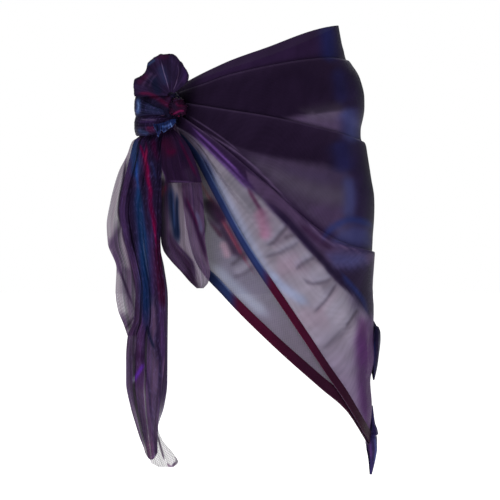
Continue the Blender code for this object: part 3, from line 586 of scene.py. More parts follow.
SHORT_TAIL_PATCHES = (
    ("plum_dark", 4, 0.95, ((-114, -70), (-96, -70), (-98, -118), (-90, -136), (-74, -152),
        (-68, -180), (-80, -176), (-102, -154), (-112, -130))),
    ("short_tip", 5, 0.6, ((-86, -100), (-80, -102), (-70, -126), (-62, -152), (-60, -172),
        (-68, -170), (-74, -150), (-86, -134))),
    ("plum_dark", 4, 0.6, ((-89, -74), (-80, -74), (-72, -96), (-80, -96))),
    ("grape_dark", 4, 0.5, ((-80, -74), (-60, -74), (-62, -130), (-66, -134), (-74, -104))),
)
# Creases of the wrap. Columns: half of the width and rise in millimetres, path as (x, height) in steps.
DRAPE_CREASES = (
    (6.6, -1.4, ((-6, -137), (4, -133), (14, -122), (24, -112))),
    (10.2, 1.3, ((4, -142), (16, -136), (30, -128))),
    (6.3, -1.2, ((-8, -148), (8, -144), (22, -137), (34, -130))),
    (6.6, -1.3, ((25, -161), (35, -152), (50, -147))),
    (10.2, 1.2, ((20, -154), (32, -146), (40, -138))),
    (6.6, -1.3, ((32, -166), (43, -173), (56, -171), (67, -163))),
    (12.4, 1.4, ((36, -158), (46, -161), (60, -156))),
    (6.3, -1.3, ((42, -204), (56, -190), (64, -178), (71, -168))),
    (10.2, 1.1, ((52, -206), (64, -192), (76, -182))),
    (5.8, -1.2, ((75, -218), (84, -205), (92, -195))),
    (8.3, -1, ((50, -240), (70, -224), (88, -208))),
    (19.8, 2.6, ((-62, -40), (-44, -74), (-22, -116), (8, -168), (38, -212), (68, -256))),
    (23.1, -2, ((-28, -86), (-6, -122), (22, -170), (54, -220), (84, -274))),
    (23.1, 1.6, ((22, -146), (50, -190), (78, -234), (94, -278))),
    (12.4, -0.8, ((32, -256), (62, -262), (94, -252))),
    (7.3, 1, ((50, -130), (66, -117), (84, -111), (106, -122))),
    (10.2, -0.8, ((56, -138), (72, -130), (94, -132))),
    (8.3, 0.8, ((54, -146), (70, -153), (94, -146))),
    (8.3, -0.7, ((62, -160), (78, -158), (90, -156))),
    (4.9, 0.7, ((68, -161), (82, -176), (94, -191), (102, -206))),
    (6.3, 1, ((-18, -86), (-10, -98), (-4, -114), (-4, -134))),
)
UNDER_CREASES = (
    (6.6, -1.2, ((-40, -157), (-30, -150), (-22, -142), (-16, -136))),
    (6.6, -1, ((-38, -168), (-24, -163), (-10, -152))),
    (9.2, 1.1, ((-38, -163), (-24, -157), (-12, -146))),
    (16.5, 2, ((-62, -80), (-48, -116), (-30, -152), (-6, -190), (22, -224))),
    (13.2, -1.2, ((-68, -66), (-60, -104), (-46, -148))),
    (6.3, 0.8, ((-65, -92), (-56, -98), (-48, -106))),
    (6.3, -0.8, ((-62, -86), (-65, -100), (-62, -115), (-65, -132))),
)
UPPER_CREASES = (
    (9.9, 1.2, ((-86, 6), (-54, 14), (-6, 24), (62, 32))),
    (11.5, -1, ((-86, 10), (-48, 26), (2, 42), (62, 62))),
    (9.9, 1, ((-84, 12), (-54, 28), (-10, 48), (32, 66))),
    (9.9, 1, ((-84, -6), (-44, -16), (2, -28), (62, -40))),
    (11.5, -0.9, ((-82, -12), (-42, -32), (-6, -48), (62, -76))),
    (9.9, 1.2, ((-78, -18), (-38, -44), (-6, -74), (32, -94), (72, -104))),
    (13.2, -1, ((-28, -40), (4, -68), (38, -88), (76, -94))),
    (9.9, 1, ((58, 80), (60, 48), (70, 20), (78, -10), (78, -40), (78, -80))),
    (4.1, 0.8, ((-86, -8), (-61, -24), (-30, -44), (-6, -65))),
    (4.1, 0.9, ((-78, -14), (-54, -38), (-28, -64), (-12, -82))),
    (4.1, -0.9, ((-76, -20), (-56, -42), (-32, -66), (-18, -82))),
)

# Finishes. Columns: roughness, metallic share, specular level, sheen, how much steep views close the weave.
FINISHES = {
    "sheer": (0.45, 0.20, 0.06, 0.015, 0.9),
    "pale": (0.50, 0.10, 0.06, 0.015, 0.9),
    "hem": (0.42, 0.30, 0.10, 0.02, 0.9),
    "silk": (0.38, 0.40, 0.12, 0.03, 0.9),
}
SHEEN_ROUGHNESS = 0.35
EDGE_TINT = (0.12, 0.10, 0.32)
SHEEN_TINT = (0.35, 0.40, 0.85)
TWILL_PERIOD = 0.0050
THREAD_PERIOD = 0.0011
WEAVE_TONE = 0.14
WEAVE_OPEN_TONE = 1.00
WEAVE_HOLES = 0.90
SLUB_SCALE = 90.0
SLUB_TONE = 0.24
SLUB_DETAIL = 2.0
SLUB_STRETCH = (1.0, 0.25, 1.0)
MOTTLE_SCALE = 26.0
MOTTLE_TONE = 0.70
MOTTLE_DETAIL = 3.0
GLINT_SCALE = 420.0
GLINT_FROM = 0.54
GLINT_GAIN = 4.0
GLINT_DETAIL = 1.0
GLINT_COLOUR = (0.022, 0.016, 0.050)
BUMP_STRENGTH = 0.25
BUMP_DISTANCE = 0.0006
STITCH_INSET = 0.0020
STITCH_HALF_WIDTH = 0.0003
STITCH_PERIOD = 0.0036
STITCH_TONE = 0.35
STITCH_GAP = -0.5
GRAZING_POWER = 2.0

# Painted sheen of the shot cloth: bluer where a fold leans up and to the left of its neighbours, redder where
# it leans back, and how much of it each piece takes.
SHOT_SHEEN_LEFT = 0.8
SHOT_SHEEN_UP = 0.6
WRAP_SHOT_SHEEN = 0.35
TAIL_SHOT_SHEEN = 0.18
VEIL_SHOT_SHEEN = 0.12
KNOT_SHOT_SHEEN = 0.5
SMOOTH_STEPS = 41
BLUE_SHEEN_TURN = np.array([-0.15, 0.25, 0.80])
RED_SHEEN_TURN = np.array([0.45, -0.25, -0.10])

PLEAT_START = 2
PLEAT_ROWS = 9
OUTER_ROW = 5
WINDOW_FROM = (0.30, 0.12)
WINDOW_OVER = 0.45
TUCK_EDGE = 0.0030
# Painted highlight along each pleat's crest: its strength, and its width in rows.
CREST_HIGHLIGHT = 0.55
CREST_HIGHLIGHT_ROWS = 0.8
PALE_LEAST = 0.45
# How strong the painted shade is where the wrap rounds away at the figure's side: high up, low down, and at
# its edge.
SIDE_SHADE_SHARE = 0.92
SIDE_LOW_SHADE_SHARE = 0.8
SIDE_EDGE_SHADE = 0.75
# Where the wrap's colours begin to turn, and over how much: shares of the way across, heights, and angles
# from the figure's side, where painted shade darkens the cloth as it rounds away.
FAN_FAR = (0.04, 0.30)
PALE_ACROSS = (0.05, 0.18)
PALE_LOW = (-0.33, 0.16)
SIDE_HEIGHT = (-0.36, 0.07)
SIDE_SHADE = (47.0, 16.0)
SIDE_LOW_SHADE = (26.0, 14.0)
SIDE_EDGE = (30.0, 30.0)
# A hem's colours: how strong each is, and where it begins on the way along or down the hem. The pale blue
# along its upper edge is painted sheen.
HEM_BLUE_OVER = 0.12
HEM_RED_DARK = 0.7
HEM_DARK_FROM = 0.05
HEM_DARK_OVER = 0.08
HEM_SHEEN = 0.60
HEM_SHEEN_EDGE = (0.26, 0.22)
HEM_ROSE = 0.30
HEM_ROSE_EDGE = (0.90, 0.10)
HEM_DARK = 0.35
HEM_DARK_EDGE = (0.62, 0.30)
# Near the side seam both cloths have the same plain paint.
SEAM_BLEND_ANGLE = 14.0
# How much of what is behind a cloth shows through where it is pale, and how bright that is.
WRAP_VIEW = (0.90, 0.25)
UNDER_VIEW = (0.90, 0.60)
TAIL_VIEW = (0.80, 0.85)
KNOT_VIEW = (0.20, 0.0)
BRIGHTNESS = (0.3, 0.5, 0.2)
MOST_OPEN = 0.45
OPEN_GAIN = 2.0
OPEN_POWER = 1.5
LEAST_OWN = 0.35
FRONT_HEM_TURN = (-0.014, 0.022)
BACK_HEM_TURN = (-0.020, 0.030)
UNDER_HEM_TURN = (-0.066, 0.020)
BETWEEN_LOW = (-0.28, 0.12)

PLEAT_STEPS = (5, 2, 2, 5, 2, 2, 18, 18, 5)
# Columns of each stretch and end, and columns and rows of each piece of the knot and the side.
COLUMNS = {
    "front_cloth": 300, "front_hem_band": 260, "back_cloth": 190, "back_hem_band": 200,
    "under_cloth": 220, "under_hem_band": 240, "long_tail": 200, "veil_tail": 110, "inner_tail": 90,
    "short_tail": 140, "square_flap": 80,
}
GRIDS = {
    "knot_fan": (210, 80), "knot_upper_band": (140, 60), "knot_lower_band": (140, 60),
    "knot_heart": (120, 60), "knot_gather": (180, 60), "knot_frill": (110, 24),
    "side_puff": (30, 60), "low_corner": (30, 60),
}
HEM_ROWS = 3
WRAP_STEPS = (6, 6, *PLEAT_STEPS, *PLEAT_STEPS, 5, 2, 2, 5, 2, 2, 12, 24, 26, 26, 22, 3, 3)
HEM_STEPS = (4, 4)
UNDER_STEPS = (14, 14, 16, 16, 16, 12, 4, 4)
TAIL_STEPS = 12
CURVE_STEPS = 600
PATH_STEPS = 20
PATH_FADE = 0.24
STREAK_POWER = 2.4
STREAK_TIP = 0.40
EVEN_STEPS = 0.45

# Creases of each piece. They wander on the way down.
# Columns: creases across, how far they wander, bends on the way down, shift, size.
LONG_RIPPLES = ((6.0, 0.55, 0.6, 0.10, 0.50), (13.0, 0.80, 0.9, 0.45, 0.32), (29.0, 0.90, 1.4, 0.70, 0.28))
VEIL_RIPPLES = ((4.0, 0.50, 0.8, 0.20, 0.50), (9.0, 0.60, 1.2, 0.60, 0.35), (19.0, 0.70, 1.7, 0.30, 0.15))
INNER_RIPPLES = ((4.0, 0.40, 0.9, 0.40, 0.50), (9.0, 0.60, 1.3, 0.10, 0.30), (21.0, 0.80, 2.1, 0.50, 0.20))
SHORT_RIPPLES = ((5.0, 0.30, 0.5, 0.30, 0.50), (11.0, 0.40, 0.8, 0.80, 0.30), (23.0, 0.50, 1.2, 0.20, 0.20))
FLAP_RIPPLES = ((3.0, 0.20, 0.4, 0.15, 0.50), (8.0, 0.30, 0.6, 0.55, 0.30), (17.0, 0.20, 0.9, 0.35, 0.20))
EAR_RIPPLES = ((5.0, 0.35, 0.5, 0.20, 0.50), (13.0, 0.45, 0.7, 0.65, 0.32), (31.0, 0.50, 0.9, 0.40, 0.18))
BAND_RIPPLES = ((3.0, 0.35, 0.6, 0.15, 0.40), (7.0, 0.55, 0.9, 0.60, 0.35), (15.0, 0.80, 1.3, 0.30, 0.25))
CREASE_SHARPNESS = 0.8
# How high the creases stand, and how much painted highlight and shade they lay on the cloth.
TAIL_CREASE = (0.0018, 0.46)
VEIL_CREASE = (0.0016, 0.20)
SHORT_CREASE = (0.0016, 0.24)
EAR_CREASE_LOOK = (0.0013, 0.52)
BAND_CREASE = (0.0011, 0.52)
RIDGE_HIGHLIGHT = 0.17
RIDGE_FROM = (0.45, 0.4)
CREASE_SHADE_LIMITS = (0.15, 2.0)

EAR_FOLD_POWER = 0.7
# Folds of the ear. Columns: direction, half of the width in degrees, size.
EAR_FOLDS = ((104.0, 3.0, 0.0022), (72.0, 3.0, 0.0018), (90.0, 8.0, -0.0022), (140.0, 7.0, -0.0036),
    (153.0, 5.0, 0.0026), (124.0, 6.0, 0.0022))
# Lobes of the bunched cloth. Columns: waves round, shift, size, twist.
POLE_WELD = 0.00001
HEART_LOBES = ((9, 0.0, 0.030, 1.2), (17, 1.0, 0.020, -1.5), (31, 0.4, 0.012, 2.0))
GATHER_LOBES = ((3, 0.6, 0.05, 0.5), (7, 1.0, 0.05, -1.4), (16, 0.3, 0.045, 2.5), (29, 0.8, 0.035, -2.0))
HEART_LOOK = (-0.1795, -0.0600, 0.0005), (0.0368, 0.0290, 0.0370), 0.62
GATHER_LOOK = (-0.1470, -0.0866, 0.0008), (0.0150, 0.0092, 0.0158), 1.0
# How strongly the lobes of the gather and the heart take painted shade in their troughs and painted highlight
# on their ridges.
GATHER_SHADE_TONE = 4.4
HEART_SHADE_TONE = 5.0
# The frill's upper edge and how far the cloth drops from it. Columns: x, y, height, drop.
FRILL = (
    (-0.1865, -0.1010, -0.0262, 0.0050), (-0.1815, -0.1030, -0.0266, 0.0130),
    (-0.1780, -0.1036, -0.0262, 0.0215), (-0.1740, -0.1040, -0.0250, 0.0120),
    (-0.1690, -0.1044, -0.0240, 0.0160), (-0.1630, -0.1040, -0.0215, 0.0145),
    (-0.1568, -0.1015, -0.0190, 0.0125), (-0.1502, -0.0960, -0.0180, 0.0060),
)
# Columns: waves, shift, size.
FRILL_WAVES = ((3.0, 0.0, 0.0018), (8.0, 1.0, 0.0014), (17.0, 0.5, 0.0009))
FRILL_FORWARD = 0.0022
FRILL_CALM = 0.3
FRILL_SWAY = 0.25
FRILL_LIFT = 0.3
# Painted highlight along the frill's lower edge: its strength, and where it sets in down the frill.
FRILL_RIM_HIGHLIGHT = 0.60
FRILL_RIM_HIGHLIGHT_FROM = (0.86, 0.12)
FRILL_STREAKS = (
    ("ink_blue", 1.5, 0.8, ((-110.9, -16.4), (-109.1, -20), (-108.5, -24.2))),
    ("ink_blue", 1.3, 0.6, ((-102.4, -15.8), (-100, -20), (-98.2, -23.6))),
    ("ice_blue", 0.5, 0.7, ((-97, -13.9), (-95.2, -17.6), (-94.5, -20.6))),
    ("sky_blue", 1.2, 0.8, ((-106.7, -18.2), (-102.4, -18.8), (-98.2, -17.6), (-93.9, -15.2))),
)
BAND_ROLL = 1.95
BAND_ROUND = 0.0050
BAND_SINK = 0.0010
BAND_SPREAD = 1.26
BAND_CALM = 0.35
LOWER_BAND_SHIFT = 0.37
# Where the bands' creases set in, by plan angle.
BAND_CREASES_FROM = (195.0, 40.0)
SIDE_RIPPLE = 0.0008
SIDE_SINK = 0.0006
# Folds that stand out from the wrap at the figure's side. Columns: height, how far the fold stands out,
# and half of the angle round the hips that it takes up. The corner's folds reach further round than the
# solid's, so that they cover the hem's end.
CORNER_LOOK = (
    (-0.488, 0.0010, 2.0), (-0.512, 0.0035, 4.0), (-0.530, 0.0070, 8.0), (-0.545, 0.0100, 12.0),
    (-0.560, 0.0105, 11.0), (-0.575, 0.0080, 7.0), (-0.602, 0.0015, 1.4),
)
# The front hem falls lower here than the solid's, from a share of the way across on.
# Columns: share of the way across, reach, drop.
HEM_EASE_START = 0.1
HEM_EASES = ((0.32, 0.15, 0.017), (0.15, 0.09, 0.013))
TAIL_ROUNDING = 0.012
TAIL_ROUND_FROM = 0.10
TAIL_CALM_TOP = 0.08
# The long end reaches a little further over the short one than its solid does. Middle height, reach, width.
LONG_TAIL_WIDENING = (-0.150, 0.085, 0.0065)
NO_WIDENING = (0.0, 1.0, 0.0)
# How an end's colour changes on its way down. Columns: colour, start height, over, strength.
LONG_TAIL_END = ("tail_low", -0.36, 0.10, 0.6)
INNER_TAIL_END = ("tail_tip", -0.46, 0.08, 1.0)
SHORT_TAIL_END = ("short_tip", -0.22, 0.06, 1.0)
SOFT_COLUMNS = 7
SOFT_ROWS = 3
SIDE_LOOP_LOOK = (
    (-0.348, 0.0004, 0.8), (-0.356, 0.0045, 4.5), (-0.368, 0.0085, 8.5), (-0.382, 0.0090, 11.5),
    (-0.404, 0.0075, 12.0), (-0.422, 0.0046, 9.0), (-0.436, 0.0020, 4.5), (-0.446, 0.0003, 0.8),
)
SIDE_RIPPLES = 5.0
SIDE_DOME = 0.8

# The back isn't in the photo, so its creases and streaks, painted sheen among them, are the front's own kinds
# in other places.
BACK_CREASES = (
    (9, 1.6, ((-84.8, -9.1), (-42.4, -30.3), (0, -60.6), (54.5, -87.9))),
    (8, -1.2, ((-84.8, -12.1), (-36.4, -42.4), (12.1, -72.7), (60.6, -103))),
    (10, 2, ((-78.8, -21.2), (-36.4, -48.5), (12.1, -90.9), (54.5, -139.4))),
    (8, -1.4, ((-18.2, -78.8), (12.1, -106.1), (42.4, -139.4))),
    (7, -1.3, ((12.1, -84.8), (42.4, -115.2), (66.7, -151.5))),
    (9, 1.2, ((-84.8, 12.1), (-36.4, 27.3), (24.2, 42.4), (72.7, 57.6))),
    (8, -1, ((-84.8, 7.3), (-30.3, 18.2), (30.3, 27.3), (72.7, 30.3))),
    (8, 1.2, ((-84.8, -2.4), (-30.3, -21.2), (30.3, -33.3), (72.7, -42.4))),
)
BACK_STREAKS = (
    ("violet", 4.8, 0.85, ((-84.8, -12.1), (-54.5, -27.3), (-24.2, -48.5), (6.1, -69.7))),
    ("night_blue", 7.3, 0.6, ((48.5, 69.7), (54.5, 42.4), (60.6, 12.1), (63.6, -24.2))),
    ("slate_blue", 4.8, 0.5, ((-18.2, 42.4), (-12.1, 18.2), (-9.1, -6.1))),
    ("pink", 6.1, 0.45, ((18.2, -103), (23, -115.2), (24.2, -127.3))),
    ("pale_blue_sheen", 6.1, 0.5, ((-48.5, -42.4), (-18.2, -69.7), (24.2, -106.1))),
)

# Columns: name, place, size, power in watts, colour.
LIGHTS = (
    ("key", (-1.6, -2.4, 1.7), 1.8, 29.0, (1.0, 0.98, 0.97)),
    ("fill", (2.2, -2.0, 0.4), 2.2, 11.0, (0.96, 0.97, 1.0)),
    ("back", (0.6, 2.4, 1.5), 2.0, 14.0, (1.0, 1.0, 1.0)),
)
LIGHT_TARGET = (0.0, 0.0, -0.2)
WORLD_LIGHT = 0.40
FLOOR_GLOW = 0.9
FLOOR_COLOUR = (0.92, 0.92, 0.92, 1.0)
FLOOR_ROUGHNESS = 0.9


def clamp(value, low=0.0, high=1.0):
    """The value, kept between two others."""
    return max(low, min(high, value))


def ease(value):
    """A smooth step from 0 to 1."""
    value = clamp(value)
    return value * value * (3 - 2 * value)


def eased(values):
    """The same smooth step as ease, for an array."""
    values = np.clip(values, 0.0, 1.0)
    return values * values * (3 - 2 * values)


def rising(values, start, over):
    """From 0 at the start to 1 where the values have grown by a certain amount."""
    return eased((values - start) / over)


def falling(values, start, over):
    """From 0 at the start to 1 where the values have fallen by a certain amount."""
    return eased((start - values) / over)


def from_edge(count, across):
    """Even shares from 0 to 1, across a grid or down it."""
    shares = np.linspace(0.0, 1.0, count + 1)
    return shares[:, None] if across else shares[None, :]


def between_rows(s, first, last, first_slope, last_slope):
    """The smooth curve between two rows at a share s of the way, with its slope at each of them."""
    return (
        (2 * s**3 - 3 * s**2 + 1) * first
        + (s**3 - 2 * s**2 + s) * first_slope
        + (3 * s**2 - 2 * s**3) * last
        + (s**3 - s**2) * last_slope
    )


def curve_through(places, values, at):
    """A smooth curve through the values, which doesn't overshoot between them."""
    if places[0] > places[-1]:
        places, values = places[::-1], values[::-1]
    at = clamp(at, places[0], places[-1])
    k = 0
    while k < len(places) - 2 and at > places[k + 1]:
        k += 1

    def slope(i):
        return (values[i + 1] - values[i]) / (places[i + 1] - places[i])

    def tangent(i):
        if i == 0 or i == len(places) - 1:
            return slope(min(i, len(places) - 2))
        before, after = slope(i - 1), slope(i)
        if before * after <= 0:
            return 0.0
        return 2 * before * after / (before + after)

    width = places[k + 1] - places[k]
    s = (at - places[k]) / width
    return between_rows(s, values[k], values[k + 1], width * tangent(k), width * tangent(k + 1))


def columns_at(table, at):
    """Every column after the first of a table, read where the first column is at."""
    columns = list(zip(*table))
    return [curve_through(columns[0], column, at) for column in columns[1:]]


def along_path(table, share):
    """A point on the smooth path through a table's rows, at a share of the number of rows."""
    steps = range(len(table))
    return [curve_through(steps, column, share * steps[-1]) for column in zip(*table)]


def path_points(table, count):
    """Points along the smooth path through a table's rows."""
    return np.array([along_path(table, i / count) for i in range(count + 1)])


def column_curve(table, column):
    """A column of a table as a fine curve over its first column."""
    places = [row[0] for row in table]
    values = [row[column] for row in table]
    at = np.linspace(min(places), max(places), CURVE_STEPS)
    return at, np.array([curve_through(places, values, place) for place in at])


HALF_WIDTH = column_curve(HIP_FORM, 1)
HALF_DEPTH = column_curve(HIP_FORM, 2)
SWELL = column_curve(SIDE_SWELL, 1)


def hip_points(angles, heights, outs):
    """Points at angles from the figure's side towards the front, out from the hips."""
    half_width = np.interp(heights, *HALF_WIDTH)
    half_depth = np.interp(heights, *HALF_DEPTH)
    swell = np.interp(heights, *SWELL)
    outs = outs + swell * np.exp(-((angles / SIDE_SWELL_ANGLE) ** 2))
    c, s = np.cos(np.radians(angles)), np.sin(np.radians(angles))
    across, forward = c / half_width, s / half_depth
    length = np.hypot(across, forward)
    x = half_width * c + across / length * outs
    y = -half_depth * s - forward / length * outs
    return np.stack([x, y, heights], axis=-1)


def rise_to_knot(angle):
    """How far the back's cloth leaves the hips on its way into the knot."""
    return BACK_RISE * ease(1 - (angle - BACK_END_ANGLE) / BACK_RISE_ANGLE)


def across_share(angle):
    """How far an angle is from the knot to the figure's side, across the view."""
    knot = math.cos(math.radians(KNOT_ANGLE if angle >= 0 else HALF_TURN))
    return (math.cos(math.radians(max(angle, -HALF_TURN))) - knot) / (1 - knot)


def fold_height(name, angle):
    """The height of a named edge or fold at an angle."""
    if name == "front_hem":
        name = "hem" if angle >= 0 else "front_hem"
    folds = {row[0]: row[1:] for row in (FRONT_FOLDS if angle >= 0 else BACK_FOLDS)}
    share = across_share(angle)
    height = MM * curve_through(FOLD_SHARES, folds[name], share)
    if name == "hem" and angle >= 0:
        for middle, reach, drop in HEM_EASES:
            height -= drop * math.exp(-(((share - middle) / reach) ** 2)) * ease(share / HEM_EASE_START)
    return height


def pleat_rows(pleat, next_fold, level, angle):
    """The section of one knife pleat, as (height, out), and the level that the cloth leaves it at."""
    crest = fold_height(f"crest_{pleat}", angle)
    tuck = fold_height(f"tuck_{pleat}", angle)
    following = fold_height(next_fold, angle)
    outer = level + 2 * LAYER_STEP
    rest_height = crest + REST_SHARE * (following - crest)
    room = (tuck - rest_height) / TUCK_ROOM
    leaves_at = outer - LAYERS_LEFT * LAYER_STEP * ease(room)
    bulge_height = crest + BULGE_SHARE * (following - crest)
    below_tuck = min(bulge_height, tuck - 0.5 * TURN)
    bulge_height += ease(4 * room) * (below_tuck - bulge_height)
    rows = [
        (crest - 0.6 * TURN, level),
        (tuck + TURN, level),
        (tuck, level + 0.5 * LAYER_STEP),
        (tuck + TURN, level + LAYER_STEP),
        (crest - TURN, level + LAYER_STEP),
        (crest, level + 1.5 * LAYER_STEP),
        (crest - TURN, outer),
        (bulge_height, outer + BULGE * ease(room)),
        (rest_height, leaves_at + REST_GAP),
    ]
    return rows, leaves_at


def hem_height(angle):
    """How tall the turned-up hem is, measured straight up."""
    grown = ease((KNOT_ANGLE - abs(angle)) / HEM_GROWTH_ANGLE)
    return HEM_HEIGHT_AT_KNOT + (HEM_HEIGHT - HEM_HEIGHT_AT_KNOT) * grown


def wrap_section(angle, hem):
    """The whole section of the wrap at an angle, from its top edge through the pleats to its hem."""
    top = fold_height("top_edge", angle)
    crest = fold_height("crest_1", angle)
    rows = [(top, 0.0), (0.5 * (top + crest), TOP_BULGE)]
    level = 0.0
    for pleat, following in zip(PLEATS, ("crest_2", "crest_3", hem)):
        pleat_part, level = pleat_rows(pleat, following, level, angle)
        if following == hem:
            pleat_part = pleat_part[:-2]
        rows += pleat_part
    outer = rows[-1][1]
    start, end = fold_height("tuck_3", angle), fold_height(hem, angle)
    hem_top = end + min(hem_height(angle), HEM_MOST_OF_DROP * (start - end))
    start = min(rows[-1][0], start + 0.4 * TURN)
    room = ease((start - hem_top) / DRAPE_ROOM)
    for share, swell in DRAPE:
        height = start + share * (hem_top - start)
        rows.append((height, outer * (1 - DRAPE_FALL * ease(share) * room) + swell * room))
    rest = outer * (1 - DRAPE_FALL * room)
    rows += [(hem_top, rest), (0.5 * (hem_top + end), rest), (end, rest)]
    return rows


def front_section(angle):
    """The section over the front of the hips."""
    return wrap_section(angle, "front_hem")


def back_section(angle):
    """The section over the back of the hips."""
    return wrap_section(angle, "hem")


def under_section(angle):
    """The second layer, which shows below the first one's hem."""
    top = fold_height("under_top", angle)
    end = fold_height("under_hem", angle)
    hem_top = end + hem_height(angle)
    rows = [
        (top + i / len(UNDER_SWELLS) * (hem_top - top), UNDER_LEVEL + swell)
        for i, swell in enumerate(UNDER_SWELLS)
    ]
    rows += [(hem_top, UNDER_LEVEL), (0.5 * (hem_top + end), UNDER_LEVEL), (end, UNDER_LEVEL)]
    return rows


def outermost(section, angle, height):
    """How far out a section's cloth reaches at a height, within a little of it."""
    reach = None
    for (z0, out0), (z1, out1) in zip(section(angle), section(angle)[1:]):
        low, high = min(z0, z1) - 2 * TURN, max(z0, z1) + 2 * TURN
        if low <= height <= high:
            reach = max(out0, out1) if reach is None else max(reach, out0, out1)
    return reach


def to_segment(x, z, first, last):
    """How far each point of the front view is from a straight segment, and the share of it there."""
    across, rise = last - first
    along = np.clip(((x - first[0]) * across + (z - first[1]) * rise) / (across**2 + rise**2), 0.0, 1.0)
    return np.hypot(x - first[0] - along * across, z - first[1] - along * rise), along


def near_path(path, x, z):
    """How far each point is from a path in the front view, and the share of the path's length there."""
    points = STEP * path_points(path, PATH_STEPS)
    steps = np.hypot(*np.diff(points, axis=0).T)
    starts = np.concatenate([[0.0], np.cumsum(steps)])
    nearest = np.full(x.shape, np.inf)
    share = np.zeros(x.shape)
    for first, last, step, start in zip(points, points[1:], steps, starts):
        distance, along = to_segment(x, z, first, last)
        closer = distance < nearest
        nearest = np.where(closer, distance, nearest)
        share = np.where(closer, (start + along * step) / starts[-1], share)
    return nearest, share


def strength_along(share):
    """A crease or streak that fades out at its ends."""
    return eased(np.minimum(share, 1 - share) / PATH_FADE)


def creased(creases, x, z):
    """How far out the creases push the cloth at each point of the front view."""
    out = np.zeros(x.shape)
    for width, rise, path in creases:
        distance, share = near_path(path, x, z)
        out += MM * rise * np.exp(-((distance / (MM * width)) ** 2)) * strength_along(share)
    return out


def linear(name):
    """A named colour in linear light, by the usual curve of a screen."""
    shares = np.array(COLOURS[name]) / 255.0
    return np.where(shares <= 0.04045, shares / 12.92, ((shares + 0.055) / 1.055) ** 2.4)


def blend_colours(first, second, amount):
    """From the first colour to the second. Each is a name or an array of colours."""
    first = linear(first) if isinstance(first, str) else first
    second = linear(second) if isinstance(second, str) else second
    start, end = np.maximum(first, 0.0) ** EVEN_STEPS, np.maximum(second, 0.0) ** EVEN_STEPS
    return (start + (end - start) * amount[..., None]) ** (1 / EVEN_STEPS)


def streaked(colours, streaks, x, z):
    """The colours with a piece's streaks laid over them."""
    for name, width, strength, path in streaks:
        distance, share = near_path(path, x, z)
        fade = strength_along(share)
        reach = STEP * width * (STREAK_TIP + (1 - STREAK_TIP) * fade)
        amount = strength * np.exp(-((distance / reach) ** STREAK_POWER)) * fade
        colours = blend_colours(colours, name, amount)
    return colours


def averaged(values, count, axis):
    """A running mean over a number of neighbours along one axis of a grid."""
    widths = [(0, 0)] * values.ndim
    widths[axis] = (count // 2, count // 2)
    padded = np.pad(values, widths, mode="edge")
    around = np.ones(count) / count
    return np.apply_along_axis(lambda line: np.convolve(line, around, mode="valid"), axis, padded)


def softened(colours):
    """The colours spread a little over their neighbours in the grid."""
    return averaged(averaged(colours, SOFT_COLUMNS, 0), SOFT_ROWS, 1)


def inside_patch(corners, x, z, soft):
    """How much of a patch's colour each point of the front view takes, with a soft edge."""
    edge = np.full(x.shape, np.inf)
    inside = np.zeros(x.shape, dtype=bool)
    for first, last in zip(corners, np.roll(corners, -1, axis=0)):
        edge = np.minimum(edge, to_segment(x, z, first, last)[0])
        across, rise = last - first
        if rise:
            inside ^= ((first[1] > z) != (last[1] > z)) & (x < first[0] + (z - first[1]) * across / rise)
    return eased(0.5 + 0.5 * np.where(inside, edge, -edge) / soft)


def patched(colours, patches, x, z):
    """The colours with a piece's soft patches laid over them."""
    for name, soft, strength, corners in patches:
        inside = inside_patch(STEP * np.array(corners), x, z, STEP * soft)
        colours = blend_colours(colours, name, strength * inside)
    return colours


def crinkled(across, down, creases):
    """Wandering creases over a piece, from about -1 in their soft troughs to 1 on their sharp ridges."""
    height = np.zeros(np.broadcast(across, down).shape)
    for count, wander, bends, shift, size in creases:
        phase = count * across + wander * np.sin(2 * math.pi * (bends * down + shift)) + shift
        height = height + size * (1 - 2 * np.abs(np.sin(math.pi * phase)) ** CREASE_SHARPNESS)
    return height


def crease_shaded(colours, height, tone):
    """Painted shade in the creases' troughs, and a painted highlight on their sharpest ridges."""
    colours = colours * np.clip(1 + tone * height, *CREASE_SHADE_LIMITS)[..., None]
    return blend_colours(colours, "lilac_line", RIDGE_HIGHLIGHT * rising(height, *RIDGE_FROM))


def fine_rows(steps):
    """Row places for a number of steps between each two rows of a section."""
    places = [
        i + k / count
        for i, count in enumerate(steps)
        for k in range(count)
    ]
    return np.array(places + [float(len(steps))])


def smooth_normals(points):
    """The outward normal at each point of a grid."""
    across = np.gradient(points, axis=0)
    down = np.gradient(points, axis=1)
    normals = np.cross(across, down)
    return normals / np.maximum(np.linalg.norm(normals, axis=-1, keepdims=True), 1e-12)


def grid_distances(points, axis):
    """How far each point of a grid is from its edge, along the cloth."""
    steps = np.linalg.norm(np.diff(points, axis=axis), axis=-1)
    first = np.zeros_like(np.take(steps, [0], axis=axis))
    return np.cumsum(np.concatenate([first, steps], axis=axis), axis=axis)


def shot(colours, points, amount):
    """Painted sheen of shot cloth: blue where a fold leans one way along the cloth, red where it leans back.
    """
    normals = smooth_normals(points)
    lean = normals[..., 2] * SHOT_SHEEN_UP - normals[..., 0] * SHOT_SHEEN_LEFT
    lean = (lean - averaged(lean, SMOOTH_STEPS, 0)) * amount
    blue = np.clip(lean, 0.0, 1.0)[..., None]
    red = np.clip(-lean, 0.0, 1.0)[..., None]
    return np.maximum(colours * (1 + blue * BLUE_SHEEN_TURN + red * RED_SHEEN_TURN), 0.0)


